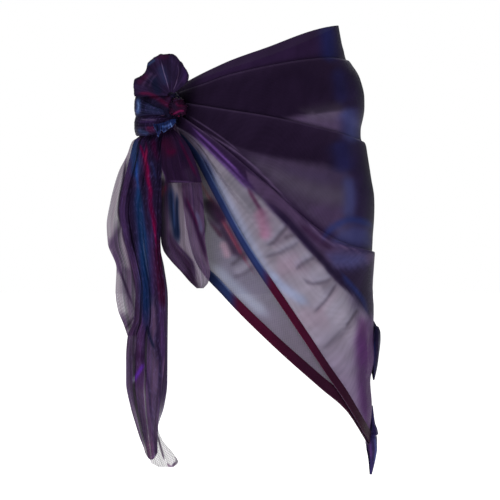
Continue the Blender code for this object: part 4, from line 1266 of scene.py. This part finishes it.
def sheer(colours, see_through, behind):
    """The cloth's own colours and opacity, for the colours that it shows before what is behind it.

    The paler the cloth looks, the more of what is behind it shows.
    """
    paleness = colours @ np.array(BRIGHTNESS)
    opacity = 1 - np.clip(see_through * OPEN_GAIN * paleness**OPEN_POWER, 0.0, MOST_OPEN)
    own = (colours - ((1 - opacity) * behind)[..., None]) / opacity[..., None]
    return np.maximum(own, LEAST_OWN * colours), opacity


def make_mesh(name, points, colours, view, material, sheen_amount, closed=False):
    """A grid of cloth with its painted colours and painted sheen, its opacity and its own lengths as UV."""
    colours, opacity = sheer(shot(colours, points, sheen_amount), *view)
    columns, rows = points.shape[:2]
    mesh = bpy.data.meshes.new(name)
    index = np.arange(columns * rows).reshape(columns, rows)
    if closed:
        index = np.concatenate([index, index[:1]])
    faces = np.stack([index[:-1, :-1], index[1:, :-1], index[1:, 1:], index[:-1, 1:]], axis=-1)
    mesh.from_pydata(points.reshape(-1, 3).tolist(), [], faces.reshape(-1, 4).tolist())
    paint = mesh.color_attributes.new("paint", "FLOAT_COLOR", "POINT")
    painted = np.concatenate([colours, opacity[..., None]], axis=-1)
    paint.data.foreach_set("color", painted.astype(np.float32).ravel())
    lengths = np.stack([grid_distances(points, 0), grid_distances(points, 1)], axis=-1).reshape(-1, 2)
    uv = mesh.uv_layers.new(name="cloth_lengths")
    corners = np.empty(len(mesh.loops), dtype=np.int32)
    mesh.loops.foreach_get("vertex_index", corners)
    uv.data.foreach_set("uv", lengths[corners].astype(np.float32).ravel())
    mesh.materials.append(material)
    if closed:
        whole = bmesh.new()
        whole.from_mesh(mesh)
        bmesh.ops.remove_doubles(whole, verts=whole.verts, dist=POLE_WELD)
        whole.to_mesh(mesh)
        whole.free()
    mesh.shade_smooth()
    obj = bpy.data.objects.new(name, mesh)
    bpy.context.scene.collection.objects.link(obj)
    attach(obj, "root")
    return obj


def fine_curve(values, places):
    """Smooth curves through rows one step apart, read at places. They don't overshoot between rows."""
    slopes = np.diff(values, axis=-1)
    together = slopes[..., :-1] * slopes[..., 1:]
    both = np.where(together > 0, slopes[..., :-1] + slopes[..., 1:], 1.0)
    inner = np.where(together > 0, 2 * together / both, 0.0)
    tangents = np.concatenate([slopes[..., :1], inner, slopes[..., -1:]], axis=-1)
    k = np.minimum(places.astype(int), values.shape[-1] - 2)
    return between_rows(
        places - k, values[..., k], values[..., k + 1], tangents[..., k], tangents[..., k + 1]
    )


def panel_points(section, angles, columns, steps, creases, first=0, lift=0.0):
    """Cloth round the hips through the rows of a section from the first one on, with its creases."""
    around = np.linspace(angles[0], angles[1], columns + 1)
    rows = np.array([section(angle)[first:] for angle in around])
    places = fine_rows(steps)
    heights = fine_curve(rows[..., 0], places)
    rises = np.array([[rise_to_knot(angle)] for angle in around])
    outs = fine_curve(rows[..., 1], places) + lift + rises
    turned = np.broadcast_to(around[:, None], heights.shape)
    plain = hip_points(turned, heights, outs)
    outs = outs + creased(creases, plain[..., 0], heights)
    return around, places, hip_points(turned, heights, outs)


def fold_line(name, around):
    """The heights of a named fold at each angle, as a column."""
    return np.array([[fold_height(name, angle)] for angle in around])


def wrap_paint(around, places, points, streaks, patches):
    """Colours of the pleated wrap: dark where the pleats lie three deep, paler where not.

    Painted shade darkens it where it rounds away at the figure's side, and a painted highlight runs along
    each crest.
    """
    x, z = points[..., 0], points[..., 2]
    place = np.broadcast_to(places, z.shape)
    across = np.array([[across_share(angle)] for angle in around])
    colours = blend_colours("fan_near_knot", "fan", np.broadcast_to(rising(across, *FAN_FAR), z.shape))
    for k, window in ((1, "window"), (2, "window_low")):
        start = PLEAT_START + (k - 1) * PLEAT_ROWS
        in_pleat = (place >= start) & (place < start + PLEAT_ROWS)
        outside = in_pleat & (place >= start + OUTER_ROW)
        colours = blend_colours(colours, "fan_dark", np.where(in_pleat, 1.0, 0.0))
        single = falling(z, fold_line(f"tuck_{k}", around), TUCK_EDGE) * outside
        colours = blend_colours(colours, window, single * rising(across, WINDOW_FROM[k - 1], WINDOW_OVER))
    start = PLEAT_START + 2 * PLEAT_ROWS
    colours = blend_colours(colours, "fold_dark", np.where(place >= start - 0.5, 1.0, 0.0))
    single = falling(z, fold_line("tuck_3", around), TUCK_EDGE) * (place >= start + OUTER_ROW)
    paleness = single * (PALE_LEAST + (1 - PALE_LEAST) * rising(across, *PALE_ACROSS))
    colours = blend_colours(colours, "pale", paleness)
    colours = blend_colours(colours, "pale_low", single * falling(z, *PALE_LOW))
    # Painted shade where the wrap rounds away at the figure's side, darker still towards its edge.
    edge = np.abs(around)[:, None]
    high = rising(z, *SIDE_HEIGHT)
    colours = blend_colours(colours, "side_shade", SIDE_SHADE_SHARE * falling(edge, *SIDE_SHADE) * high)
    low_side_shade = falling(edge, *SIDE_LOW_SHADE) * (1 - high) * single
    colours = blend_colours(colours, "side_low_shade", SIDE_LOW_SHADE_SHARE * low_side_shade)
    colours = colours * (1 - SIDE_EDGE_SHADE * falling(edge, *SIDE_EDGE) * high)[..., None]
    # Painted highlight along each pleat's crest.
    for k in range(len(PLEATS)):
        row = PLEAT_START + PLEAT_ROWS * k + OUTER_ROW
        line = np.exp(-(((place - row) / CREST_HIGHLIGHT_ROWS) ** 2)) * CREST_HIGHLIGHT
        colours = blend_colours(colours, "lilac_line", line)
    plain = softened(colours)
    dressed = streaked(patched(plain, patches, x, z), streaks, x, z)
    apart = np.broadcast_to(eased(np.abs(around - SIDE_ANGLE) / SEAM_BLEND_ANGLE)[:, None], z.shape)
    return blend_colours(plain, dressed, apart)


def hem_paint(points, turn_at, turn_over):
    """A hem that is blue near the knot and dark red further along, with painted blue sheen at its top."""
    x = points[..., 0]
    red = rising(x, turn_at, turn_over)
    along = rising(x, points[..., 0].min(), HEM_BLUE_OVER)
    down = from_edge(points.shape[1] - 1, across=False) * np.ones_like(x)
    colours = blend_colours(blend_colours("hem_blue_dark", "hem_blue", along), "hem_red", red)
    for colour, strength, amount in (
        ("hem_red_dark", HEM_RED_DARK, rising(x, turn_at + HEM_DARK_FROM, HEM_DARK_OVER)),
        # Painted pale blue sheen along the hem's upper edge.
        ("sky_pale_sheen", HEM_SHEEN, falling(down, *HEM_SHEEN_EDGE) * (1 - red) * along),
        ("rose_line", HEM_ROSE, rising(down, *HEM_ROSE_EDGE) * red),
        ("fan_dark", HEM_DARK, rising(down, *HEM_DARK_EDGE) * (1 - red)),
    ):
        colours = blend_colours(colours, colour, strength * amount)
    return colours


def tail_points(table, folds, columns, ripples, rise, rounding, widening):
    """A hanging end, folded across its width, with finer ripples along it."""
    down = MM * path_points(table, (len(table) - 1) * TAIL_STEPS)
    fold = path_points(folds, columns)
    height, left, right, left_front, right_front, depth = (down[:, i][None, :] for i in range(6))
    across, forward = fold[:, 0][:, None], fold[:, 1][:, None]
    middle, reach, width = widening
    right = right + width * np.exp(-(((height - middle) / reach) ** 4))
    x = left + across * (right - left)
    y = left_front + across * (right_front - left_front) - forward * depth
    u = from_edge(columns, across=True)
    v = from_edge(down.shape[0] - 1, across=False)
    creases = crinkled(u, v, ripples)
    y = y - rise * creases * rising(v, 0.0, TAIL_CALM_TOP)
    corner = (2 * (x - left) / (right - left) - 1) ** 2
    height = height + rounding * corner * rising(v, 1 - TAIL_ROUND_FROM, TAIL_ROUND_FROM)
    return np.stack([x, y, height], axis=-1), creases


def flat_colours(points, name):
    """One colour for every point of a grid."""
    return np.broadcast_to(linear(name), points.shape).copy()


def added(tree, kind, inputs, result, **settings):
    """A new node with its inputs set or linked, and one of its results."""
    node = tree.nodes.new("ShaderNode" + kind)
    for name, value in settings.items():
        setattr(node, name, value)
    for name, value in inputs.items():
        if isinstance(value, bpy.types.NodeSocket):
            tree.links.new(value, node.inputs[name])
        else:
            node.inputs[name].default_value = value
    return node.outputs[result]


def cloth_material(name, finish, stitched=False, glints=False):
    """Sheer cloth: painted colour and opacity, a diagonal weave, and a silky gloss."""
    roughness, metallic, specular, sheen, grazing = FINISHES[finish]
    material = bpy.data.materials.new(name)
    material.use_nodes = True
    tree = material.node_tree
    shader = tree.nodes["Principled BSDF"]

    def maths(operation, *values):
        return added(tree, "Math", dict(enumerate(values)), "Value", operation=operation)

    def vector_maths(operation, inputs):
        return added(tree, "VectorMath", inputs, "Vector", operation=operation)

    def noise(vector, scale, detail):
        return added(tree, "TexNoise", {"Vector": vector, "Scale": scale, "Detail": detail}, "Fac")

    def within(value):
        """The value, kept from 0 to 1."""
        return maths("MINIMUM", maths("MAXIMUM", value, 0.0), 1.0)

    def ribs(operation, share, period):
        """Fine ribs across the sum of two lengths, from 0 to 1."""
        total = maths(operation, u, maths("MULTIPLY", v, share))
        wave = maths("SINE", maths("MULTIPLY", total, 2 * math.pi / period))
        return maths("MULTIPLY_ADD", wave, 0.5, 0.5)

    def toned(value, uneven, tone):
        """The value with a noise on it, whose middle leaves it as it is."""
        return maths("MULTIPLY_ADD", uneven, tone, maths("SUBTRACT", value, 0.5 * tone))

    paint = tree.nodes.new("ShaderNodeVertexColor")
    paint.layer_name = "paint"
    opacity = paint.outputs["Alpha"]
    lengths = added(tree, "UVMap", {}, "UV", uv_map="cloth_lengths")
    u = added(tree, "SeparateXYZ", {"Vector": lengths}, "X")
    v = added(tree, "SeparateXYZ", {"Vector": lengths}, "Y")
    stretched = added(tree, "Mapping", {"Vector": lengths, "Scale": SLUB_STRETCH}, "Vector")
    twill, counter = ribs("ADD", 1.0, TWILL_PERIOD), ribs("SUBTRACT", 1.0, TWILL_PERIOD)
    weave = maths("MULTIPLY", maths("ADD", twill, counter), 0.5)

    open_share = maths("SUBTRACT", 1.0, opacity)
    contrast = maths("MULTIPLY_ADD", open_share, WEAVE_OPEN_TONE, WEAVE_TONE)
    value = maths("MULTIPLY_ADD", maths("SUBTRACT", weave, 0.5), contrast, 1.0)
    value = toned(value, noise(stretched, SLUB_SCALE, SLUB_DETAIL), SLUB_TONE)
    value = toned(value, noise(lengths, MOTTLE_SCALE, MOTTLE_DETAIL), MOTTLE_TONE)
    if stitched:
        beside = maths("ABSOLUTE", maths("SUBTRACT", v, STITCH_INSET))
        near = maths("LESS_THAN", beside, STITCH_HALF_WIDTH)
        wave = maths("SINE", maths("MULTIPLY", u, 2 * math.pi / STITCH_PERIOD))
        stitch = maths("MULTIPLY", near, maths("GREATER_THAN", wave, STITCH_GAP))
        value = maths("MULTIPLY_ADD", stitch, -STITCH_TONE, value)
    colour = vector_maths("SCALE", {"Vector": paint.outputs["Color"], "Scale": value})
    if glints:
        over = maths("SUBTRACT", noise(stretched, GLINT_SCALE, GLINT_DETAIL), GLINT_FROM)
        glint = within(maths("MULTIPLY", over, GLINT_GAIN))
        lit = vector_maths("SCALE", {"Vector": GLINT_COLOUR, "Scale": glint})
        colour = vector_maths("ADD", {0: colour, 1: lit})

    facing = added(tree, "LayerWeight", {"Blend": 0.5}, "Facing")
    closing = maths("MULTIPLY", maths("MULTIPLY", open_share, maths("POWER", facing, GRAZING_POWER)), grazing)
    holes = maths("MULTIPLY", maths("SUBTRACT", 0.5, weave), WEAVE_HOLES)
    alpha = maths("MULTIPLY_ADD", holes, open_share, maths("ADD", opacity, closing))
    height = maths("ADD", weave, maths("MULTIPLY", ribs("ADD", 0.0, THREAD_PERIOD), 0.5))
    bump = {"Strength": BUMP_STRENGTH, "Distance": BUMP_DISTANCE, "Height": height}
    for socket, result in (
        ("Base Color", colour), ("Alpha", within(alpha)), ("Normal", added(tree, "Bump", bump, "Normal")),
    ):
        tree.links.new(result, shader.inputs[socket])
    for socket, constant in (
        ("Roughness", roughness), ("Metallic", metallic), ("Specular IOR Level", specular),
        ("Specular Tint", (*EDGE_TINT, 1.0)), ("Sheen Weight", sheen),
        ("Sheen Roughness", SHEEN_ROUGHNESS), ("Sheen Tint", (*SHEEN_TINT, 1.0)),
    ):
        shader.inputs[socket].default_value = constant
    return material


SHEER = cloth_material("sheer_purple_cloth", "sheer")
PALE = cloth_material("sheer_mauve_cloth", "pale")
HEM = cloth_material("hem_red_cloth", "hem", stitched=True)
BLUE = cloth_material("shot_blue_cloth", "silk", glints=True)
RED = cloth_material("shot_red_cloth", "silk", glints=True)


def handed(piece, node):
    """The piece, with the solid that it stands for hidden."""
    if node:
        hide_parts(node)
    return piece


def wrap(name, node, section, angles, creases, streaks, patches):
    """A pleated stretch of the cloth round the hips."""
    around, places, points = panel_points(section, angles, COLUMNS[name], WRAP_STEPS, creases)
    colours = wrap_paint(around, places, points, streaks, patches)
    piece = make_mesh(name, points, colours, WRAP_VIEW, SHEER, WRAP_SHOT_SHEEN)
    return handed(piece, node)


def hem_band(name, node, section, angles, creases, turn):
    """The turned-up hem of a stretch of the cloth. Its colour turns red at turn[0], over turn[1]."""
    first = len(section(0.0)) - HEM_ROWS
    _, _, points = panel_points(section, angles, COLUMNS[name], HEM_STEPS, creases, first, HEM_LIFT)
    piece = make_mesh(name, points, hem_paint(points, *turn), WRAP_VIEW, HEM, WRAP_SHOT_SHEEN)
    return handed(piece, node)


FRONT_ANGLES = (KNOT_ANGLE, SIDE_ANGLE)
BACK_ANGLES = (SIDE_ANGLE, BACK_END_ANGLE)
FRONT_CREASES = DRAPE_CREASES + UPPER_CREASES
LOW_CREASES = DRAPE_CREASES + UNDER_CREASES

front_cloth = wrap(
    "front_cloth", "front_wrap", front_section, FRONT_ANGLES, FRONT_CREASES, FRONT_STREAKS, FRONT_PATCHES
)
front_band = hem_band(
    "front_hem_band", "front_hem", front_section, FRONT_ANGLES, FRONT_CREASES, FRONT_HEM_TURN
)
back_cloth = wrap("back_cloth", "back_wrap", back_section, BACK_ANGLES, BACK_CREASES, BACK_STREAKS, ())
back_band = hem_band("back_hem_band", "back_hem", back_section, BACK_ANGLES, BACK_CREASES, BACK_HEM_TURN)


def under_piece(name, node):
    """The second layer below the first one's hem."""
    points = panel_points(under_section, FRONT_ANGLES, COLUMNS[name], UNDER_STEPS, LOW_CREASES)[2]
    x, z = points[..., 0], points[..., 2]
    colours = blend_colours(flat_colours(points, "between"), "between_low", falling(z, *BETWEEN_LOW))
    colours = streaked(patched(colours, UNDER_PATCHES, x, z), UNDER_STREAKS, x, z)
    piece = make_mesh(name, points, colours, UNDER_VIEW, PALE, VEIL_SHOT_SHEEN)
    return handed(piece, node)


under_cloth = under_piece("under_cloth", "under_wrap")
under_band = hem_band(
    "under_hem_band", "under_hem", under_section, FRONT_ANGLES, LOW_CREASES, UNDER_HEM_TURN
)


def tail_piece(
    name, node, table, folds, base, streaks, patches, material, ripples, look, sheen_amount,
    end=None, rounding=0.0, widening=NO_WIDENING,
):
    """A hanging end of the cloth."""
    rise, tone = look
    points, creases = tail_points(table, folds, COLUMNS[name], ripples, rise, rounding, widening)
    x, z = points[..., 0], points[..., 2]
    colours = flat_colours(points, base)
    if end:
        colour, start, over, strength = end
        colours = blend_colours(colours, colour, strength * falling(z, start, over))
    # Painted shade in the creases' troughs and painted highlight on their ridges, then the streaks.
    colours = crease_shaded(patched(colours, patches, x, z), creases, tone)
    colours = streaked(colours, streaks, x, z)
    return handed(make_mesh(name, points, colours, TAIL_VIEW, material, sheen_amount), node)


long_tail = tail_piece(
    "long_tail", "tail_long", LONG_TAIL, LONG_TAIL_FOLDS, "tail", LONG_TAIL_STREAKS,
    LONG_TAIL_PATCHES, BLUE, LONG_RIPPLES, TAIL_CREASE, TAIL_SHOT_SHEEN, LONG_TAIL_END, TAIL_ROUNDING,
    LONG_TAIL_WIDENING,
)
veil = tail_piece(
    "veil_tail", "tail_veil", VEIL_TAIL, VEIL_FOLDS, "veil", VEIL_STREAKS,
    VEIL_PATCHES, PALE, VEIL_RIPPLES, VEIL_CREASE, VEIL_SHOT_SHEEN,
)
inner_tail = tail_piece(
    "inner_tail", "tail_inner", INNER_TAIL, INNER_TAIL_FOLDS, "tail", INNER_TAIL_STREAKS,
    (), PALE, INNER_RIPPLES, VEIL_CREASE, VEIL_SHOT_SHEEN, INNER_TAIL_END,
)
short_tail = tail_piece(
    "short_tail", "tail_short", SHORT_TAIL, SHORT_TAIL_FOLDS, "short_tail",
    SHORT_TAIL_STREAKS, SHORT_TAIL_PATCHES, SHEER, SHORT_RIPPLES, SHORT_CREASE, VEIL_SHOT_SHEEN, SHORT_TAIL_END,
)
flap = tail_piece(
    "square_flap", "tail_flap", FLAP, FLAP_FOLDS, "flap", FLAP_STREAKS, (), SHEER,
    FLAP_RIPPLES, SHORT_CREASE, TAIL_SHOT_SHEEN,
)


def knot_piece(name, node, slot, points, creases, tone, base, streaks, material, closed=False):
    """A piece of the knot, with painted shade and highlight along its creases."""
    colours = crease_shaded(flat_colours(points, base), creases, tone)
    colours = streaked(colours, streaks, points[..., 0], points[..., 2])
    return handed(make_mesh(name, points, colours, KNOT_VIEW, material, KNOT_SHOT_SHEEN, closed), node)


def ear_points(columns, rows):
    """The loop of cloth above the knot: up from the pinch, over and down behind, with radial creases."""
    outline = path_points(EAR_OUTLINE, columns)
    direction, reach = outline[:, 0][:, None], outline[:, 1][:, None]
    u = from_edge(columns, across=True)
    turn = math.pi * from_edge(rows, across=False)
    rise = np.sin(turn) ** EAR_FULLNESS
    distance = EAR_ROOT + (reach - EAR_ROOT) * rise
    half_depth = EAR_ROOT_HALF_DEPTH + (EAR_HALF_DEPTH - EAR_ROOT_HALF_DEPTH) * np.sin(turn)
    ridges = crinkled(u, turn / math.pi, EAR_RIPPLES)
    crease = EAR_CREASE_LOOK[0] * ridges * np.sqrt(np.sin(turn))
    for middle, width, size in EAR_FOLDS:
        fold = np.exp(-(((direction - middle) / width) ** 2))
        crease = crease + size * fold * np.sin(turn) ** EAR_FOLD_POWER
    a = np.radians(direction)
    y = -np.cos(turn) * (half_depth + EAR_CREASE_FORWARD * crease)
    ripple = distance + EAR_CREASE_OUTWARD * np.clip(crease, -EAR_CREASE, EAR_CREASE)
    x = ripple * np.cos(a)
    z = ripple * np.sin(a)
    return np.array(EAR_PINCH) + np.stack([x, y, z], axis=-1), ridges


def band_points(table, columns, rows, shift):
    """A band of cloth round the knot, gathered along its length, with its edges rolled in."""
    path = path_points(table, columns)
    angle, radius_x, radius_y, middle, half_width = (path[:, i][:, None] for i in range(5))
    turn = np.linspace(-BAND_ROLL, BAND_ROLL, rows + 1)[None, :]
    share = from_edge(columns, across=True)
    ridges = crinkled(0.5 * np.sin(turn) + shift, share, BAND_RIPPLES)
    front = BAND_CALM + (1 - BAND_CALM) * rising(angle, *BAND_CREASES_FROM)
    out = BAND_ROUND * np.cos(turn) - BAND_SINK + BAND_CREASE[0] * ridges * front
    a = np.radians(angle)
    x = (radius_x + out) * np.cos(a)
    y = (radius_y + out) * np.sin(a)
    z = middle + half_width * BAND_SPREAD * np.sin(turn)
    return np.array(KNOT_CENTRE) + np.stack([x, y, z], axis=-1), ridges


def lump_points(centre, radii, squareness, columns, rows, lobes):
    """A closed bunch of cloth whose creases run out from its front, from pole to pole."""
    turn = 2 * math.pi * np.arange(columns)[:, None] / columns
    polar = math.pi * from_edge(rows, across=False)
    ring = np.abs(np.sin(polar)) ** squareness
    swell = np.zeros_like(turn * polar)
    for waves, shift, size, twist in lobes:
        swell = swell + size * ring * np.cos(waves * turn + shift + twist * polar)
    corner = (np.abs(np.cos(turn)) ** 4 + np.abs(np.sin(turn)) ** 4) ** -0.25
    corner = 1 + (1 - squareness) * (corner - 1)
    x = ring * np.cos(turn) * corner * (1 + swell) * radii[0]
    y = -np.cos(polar) * radii[1] * np.ones_like(swell)
    z = ring * np.sin(turn) * corner * (1 + swell) * radii[2]
    return np.array(centre) + np.stack([x, y, z], axis=-1), swell


def frill_points(columns, rows):
    """A crumpled edge of cloth that stands out under the gather, with a painted highlight along its rim."""
    path = path_points(FRILL, columns)
    share = from_edge(columns, across=True)
    v = from_edge(rows, across=False)
    x, y, z, drop = (path[:, i][:, None] for i in range(4))
    wave = sum(size * np.sin(waves * 2 * math.pi * share + shift) for waves, shift, size in FRILL_WAVES)
    forward = FRILL_FORWARD * np.sin(math.pi * v) + wave * (FRILL_CALM + (1 - FRILL_CALM) * v)
    points = np.stack([x + FRILL_SWAY * wave * v, y - forward, z + (FRILL_LIFT * wave - drop) * v], axis=-1)
    return points, FRILL_RIM_HIGHLIGHT * rising(v, *FRILL_RIM_HIGHLIGHT_FROM) * np.ones_like(wave)


ear = knot_piece(
    "knot_fan", "knot_ear", "sheer_purple", *ear_points(*GRIDS["knot_fan"]), EAR_CREASE_LOOK[1], "ear",
    EAR_STREAKS, SHEER,
)
upper_band = knot_piece(
    "knot_upper_band", "knot_band_upper", "shot_blue",
    *band_points(UPPER_BAND, *GRIDS["knot_upper_band"], 0.0), BAND_CREASE[1], "band",
    UPPER_BAND_STREAKS, BLUE,
)
lower_band = knot_piece(
    "knot_lower_band", "knot_band_lower", "shot_blue",
    *band_points(LOWER_BAND, *GRIDS["knot_lower_band"], LOWER_BAND_SHIFT), BAND_CREASE[1], "cuff",
    LOWER_BAND_STREAKS, BLUE,
)
heart = knot_piece(
    "knot_heart", "knot_core", "shot_red", *lump_points(*HEART_LOOK, *GRIDS["knot_heart"], HEART_LOBES),
    HEART_SHADE_TONE, "heart", HEART_STREAKS, BLUE, closed=True,
)
gather = knot_piece(
    "knot_gather", "knot_rosette", "shot_red",
    *lump_points(*GATHER_LOOK, *GRIDS["knot_gather"], GATHER_LOBES), GATHER_SHADE_TONE, "gather", GATHER_STREAKS,
    RED, closed=True,
)
frill_grid, frill_rim_highlight = frill_points(*GRIDS["knot_frill"])
# Painted highlight along the frill's lower edge, then its streaks.
frill_colours = blend_colours(flat_colours(frill_grid, "frill"), "frill_edge_highlight", frill_rim_highlight)
frill_colours = streaked(frill_colours, FRILL_STREAKS, frill_grid[..., 0], frill_grid[..., 2])
frill = handed(
    make_mesh("knot_frill", frill_grid, frill_colours, KNOT_VIEW, BLUE, KNOT_SHOT_SHEEN), None
)


def side_fold_piece(name, node, table, middle_angle, base, streaks):
    """A fold that stands out from the wrap and the hem that it rests on."""
    columns, rows = GRIDS[name]
    top, bottom = table[0][0], table[-1][0]
    hem_end = front_section(middle_angle)[-1][0]
    points = np.empty((columns + 1, rows + 1, 3))
    turn = math.pi * (np.linspace(0.0, 1.0, columns + 1) - 0.5)
    dome = np.cos(turn) ** SIDE_DOME
    for j in range(rows + 1):
        share = j / rows
        height = top + share * (bottom - top)
        rise, half_angle = columns_at(table, height)
        rest = outermost(front_section, middle_angle, max(height, hem_end))
        onto_hem = ease((hem_end + ONTO_HEM_FROM * HEM_HEIGHT - height) / (ONTO_HEM_OVER * HEM_HEIGHT))
        out = rest + onto_hem * HEM_LIFT - SIDE_SINK + (RESTING_GAP + SIDE_SINK + rise) * dome
        wave = np.sin(SIDE_RIPPLES * (turn + share))
        out = out + SIDE_RIPPLE * wave * math.sin(math.pi * share)
        angles = middle_angle + half_angle * np.sin(turn)
        points[:, j] = hip_points(angles, np.full(columns + 1, height), out)
    colours = streaked(flat_colours(points, base), streaks, points[..., 0], points[..., 2])
    return handed(make_mesh(name, points, colours, KNOT_VIEW, BLUE, KNOT_SHOT_SHEEN), node)


side_puff = side_fold_piece(
    "side_puff", "side_loop", SIDE_LOOP_LOOK, SIDE_LOOP_ANGLE, "loop", SIDE_PUFF_STREAKS
)
low_corner = side_fold_piece(
    "low_corner", "corner_point", CORNER_LOOK, CORNER_ANGLE, "tip", LOW_CORNER_STREAKS
)


def stage_floor():
    """The plain pale floor."""
    mesh = bpy.data.meshes.new("floor")
    s, z = FLOOR_HALF_SIZE, FLOOR_LEVEL
    mesh.from_pydata([(-s, -s, z), (s, -s, z), (s, s, z), (-s, s, z)], [], [(0, 1, 2, 3)])
    floor = bpy.data.objects.new("floor", mesh)
    bpy.context.scene.collection.objects.link(floor)
    material = bpy.data.materials.new("floor_white")
    material.use_nodes = True
    shader = material.node_tree.nodes["Principled BSDF"]
    shader.inputs["Base Color"].default_value = FLOOR_COLOUR
    shader.inputs["Roughness"].default_value = FLOOR_ROUGHNESS
    shader.inputs["Specular IOR Level"].default_value = 0.0
    shader.inputs["Emission Color"].default_value = (1.0, 1.0, 1.0, 1.0)
    shader.inputs["Emission Strength"].default_value = FLOOR_GLOW
    mesh.materials.append(material)


def area_light(name, place, target, size, power, colour):
    """A soft square light that faces its target."""
    light = bpy.data.lights.new(name, "AREA")
    light.shape = "SQUARE"
    light.size = size
    light.energy = power
    light.color = colour
    obj = bpy.data.objects.new(name, light)
    obj.location = place
    obj.rotation_euler = (Vector(target) - Vector(place)).to_track_quat("-Z", "Y").to_euler()
    bpy.context.scene.collection.objects.link(obj)


stage_floor()
for name, place, size, power, colour in LIGHTS:
    area_light(name, place, LIGHT_TARGET, size, power, colour)

world = bpy.data.worlds.new("studio")
world.use_nodes = True
tree = world.node_tree
sky = tree.nodes["Background"]
sky.inputs["Color"].default_value = (1.0, 1.0, 1.0, 1.0)
seen = tree.nodes.new("ShaderNodeLightPath")
strength = tree.nodes.new("ShaderNodeMapRange")
strength.inputs["To Min"].default_value = WORLD_LIGHT
strength.inputs["To Max"].default_value = 1.0
tree.links.new(seen.outputs["Is Camera Ray"], strength.inputs["Value"])
tree.links.new(strength.outputs["Result"], sky.inputs["Strength"])
bpy.context.scene.world = world

camera_data = bpy.data.cameras.new("camera")
camera_data.sensor_width = SENSOR_WIDTH
camera_data.lens = SENSOR_WIDTH * CAMERA_DISTANCE / VIEW_WIDTH
camera_data.clip_end = 100.0
camera = bpy.data.objects.new("camera", camera_data)
camera.location = (VIEW_CENTRE[0], -CAMERA_DISTANCE, VIEW_CENTRE[1])
camera.rotation_euler = (math.radians(90.0), 0.0, 0.0)
bpy.context.scene.collection.objects.link(camera)
bpy.context.scene.camera = camera

bpy.context.scene.view_settings.view_transform = "Standard"
bpy.context.scene.cycles.transparent_max_bounces = 48
